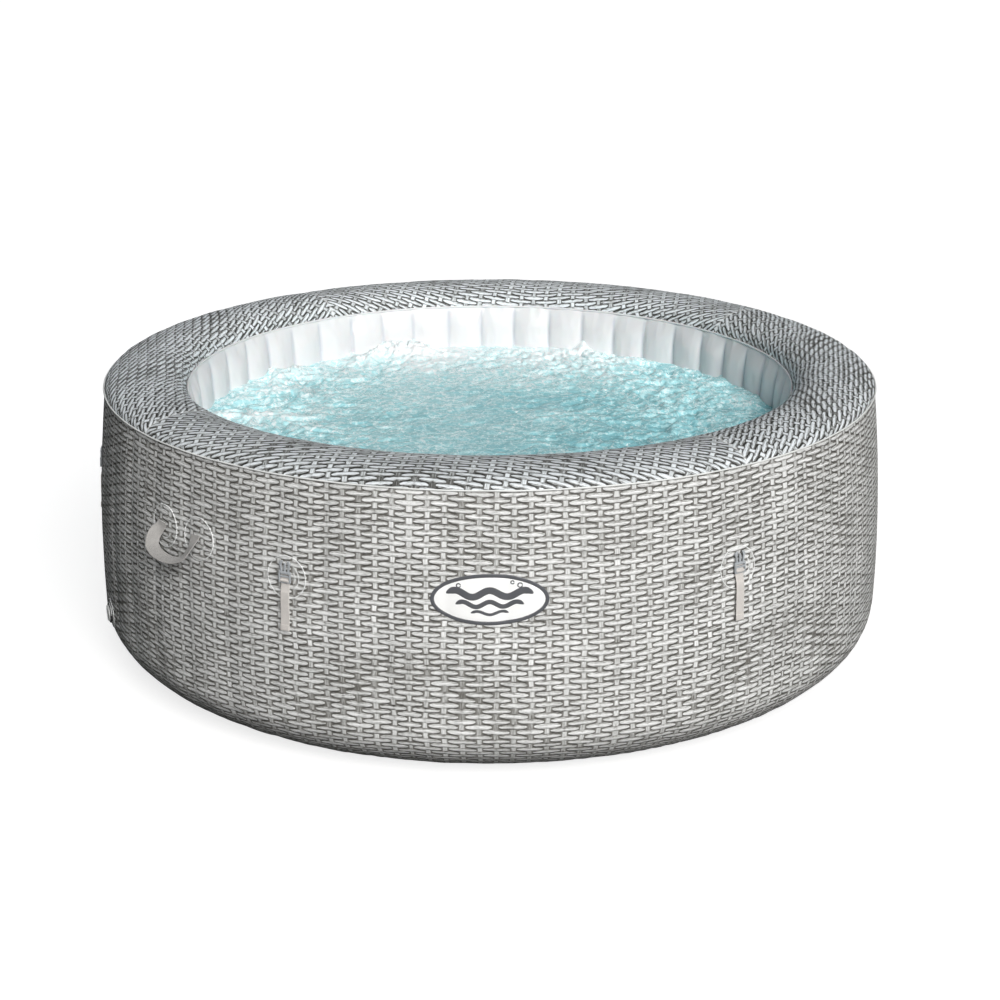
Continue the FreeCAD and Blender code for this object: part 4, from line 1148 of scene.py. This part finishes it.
def paint_nodes():
    """Finishes for the CAD nodes that stay as they are."""
    finishes = {
        # the base sheet's near-black edge also stands in for contact shadow at the foot
        DARK_PVC_AND_FOOT_SHADE: ("base_sheet", "chamber_floor"),
        WHITE_PVC: ("pool_floor", "bubble_channel", "air_riser"),
        WELD: ("duct_collars",),
        RUBBER: ("port_gaskets", "valve_diaphragm", "valve_tether"),
        VALVE: ("valve_body", "valve_cap", "drain_cap", "drain_plug"),
        FITTING: ("air_duct", "return_duct", "suction_duct", "drain_duct", "return_screen", "suction_screen"),
    }
    for material, names in finishes.items():
        for name in names:
            for material_slot in frame["nodes"][name].material_slots:
                material_slot.material = material


# ---- stage, light and camera --------------------
def stage_piece(name, work, glow, grey):
    """A plain pale surface that only the camera sees, so it doesn't light the tub."""
    mesh = bpy.data.meshes.new(name)
    work.to_mesh(mesh)
    work.free()
    piece = place_object(name, mesh)
    white = (1.0, 1.0, 1.0, 1.0)
    g = Graph(f"pale_{name}", roughness=0.9, specular=0.0, Emission_Color=white, Emission_Strength=glow)
    cloud = g.noise(g.place(), scale=1.3, detail=2.0)
    mesh.materials.append(g.surface(g.mix(cloud, (grey,) * 3, (grey + 0.02,) * 3)))
    piece.visible_diffuse = False
    piece.visible_glossy = False
    return piece


def build_stage():
    """A plain pale floor, and a pale backdrop around it that lets the sky and the suns through."""
    work = bmesh.new()
    bmesh.ops.create_circle(work, cap_ends=True, segments=96, radius=STAGE_R)
    stage_piece("floor", work, 0.74, 0.44)
    work = bmesh.new()
    bmesh.ops.create_uvsphere(work, u_segments=96, v_segments=48, radius=STAGE_R)
    backdrop = stage_piece("backdrop", work, 0.97, 0.0)
    backdrop.visible_shadow = False
    backdrop.visible_transmission = False


def build_light():
    """Soft studio light: a broad key in front and to the right, a low fill behind, and a soft sky."""
    world = bpy.data.worlds.new("studio")
    world.use_nodes = True
    nodes, links = world.node_tree.nodes, world.node_tree.links
    direction = nodes.new("ShaderNodeTexCoord")
    split = nodes.new("ShaderNodeSeparateXYZ")
    height = nodes.new("ShaderNodeMapRange")
    height.inputs["From Min"].default_value = -1.0
    sky = nodes.new("ShaderNodeValToRGB")
    levels = ((0.46, 0.004), (0.53, 0.045), (0.75, 0.125), (1.0, 0.250))    # from 0, straight down, to 1
    set_stops(sky.color_ramp, [(place, (0.89 * level, 0.95 * level, level)) for place, level in levels])
    background = nodes["Background"]
    background.inputs["Strength"].default_value = 1.0
    links.new(direction.outputs["Generated"], split.inputs[0])
    links.new(split.outputs["Z"], height.inputs["Value"])
    links.new(height.outputs[0], sky.inputs["Fac"])
    links.new(sky.outputs["Color"], background.inputs["Color"])
    bpy.context.scene.world = world
    suns = (    # name, power, soft angle, colour, azimuth and elevation
        ("key", 3.75, 38.0, (1.0, 0.99, 0.97), 19.0, 30.0),
        ("back_fill", 1.7, 8.0, (0.97, 0.985, 1.0), 180.0, 1.5),
    )
    for name, power, softness, colour, azimuth, elevation in suns:
        sun = bpy.data.lights.new(name, "SUN")
        sun.energy = power
        sun.angle = math.radians(softness)
        sun.color = colour
        light = place_object(name, sun)
        light.visible_glossy = name == "key"
        turn, rise = math.radians(azimuth), math.radians(elevation)
        away = Vector((math.sin(turn) * math.cos(rise), -math.cos(turn) * math.cos(rise), math.sin(rise)))
        light.rotation_euler = away.to_track_quat("Z", "Y").to_euler()
    bpy.context.scene.view_settings.view_transform = "Standard"


def build_camera():
    """A long lens about 2 m up, looking down at the front."""
    data = bpy.data.cameras.new("camera")
    data.lens = CAMERA_LENS
    data.sensor_width = 36.0
    data.shift_x, data.shift_y = CAMERA_SHIFT
    camera = place_object("camera", data)
    target = Vector((0.0, 0.0, HEIGHT / 2))
    rise = math.radians(CAMERA_RISE)
    camera.location = target + CAMERA_DISTANCE * Vector((0.0, -math.cos(rise), math.sin(rise)))
    camera.rotation_euler = (camera.location - target).to_track_quat("Z", "Y").to_euler()
    bpy.context.scene.camera = camera


joints = {joint["name"]: joint for joint in frame["record"]["behaviour"]["joints"]}
build_camera()
build_stage()
build_light()
build_beams()
build_walls()
build_ring()
build_liner()
bead("outer_seam_bead", OUTER_SEAM[0] + 0.0016, OUTER_SEAM[1], 0.0019, 0.0019, WELD,
     "outer_seam_welt", 21.0)
bead("liner_bead", INNER_SEAM[0] - 0.0018, INNER_SEAM[1], 0.0024, 0.0026, WHITE_PVC,
     "liner_piping", 25.0)
build_water()
build_badge()
build_clips(joints)
build_handles(joints)
build_valve_patch()
paint_nodes()
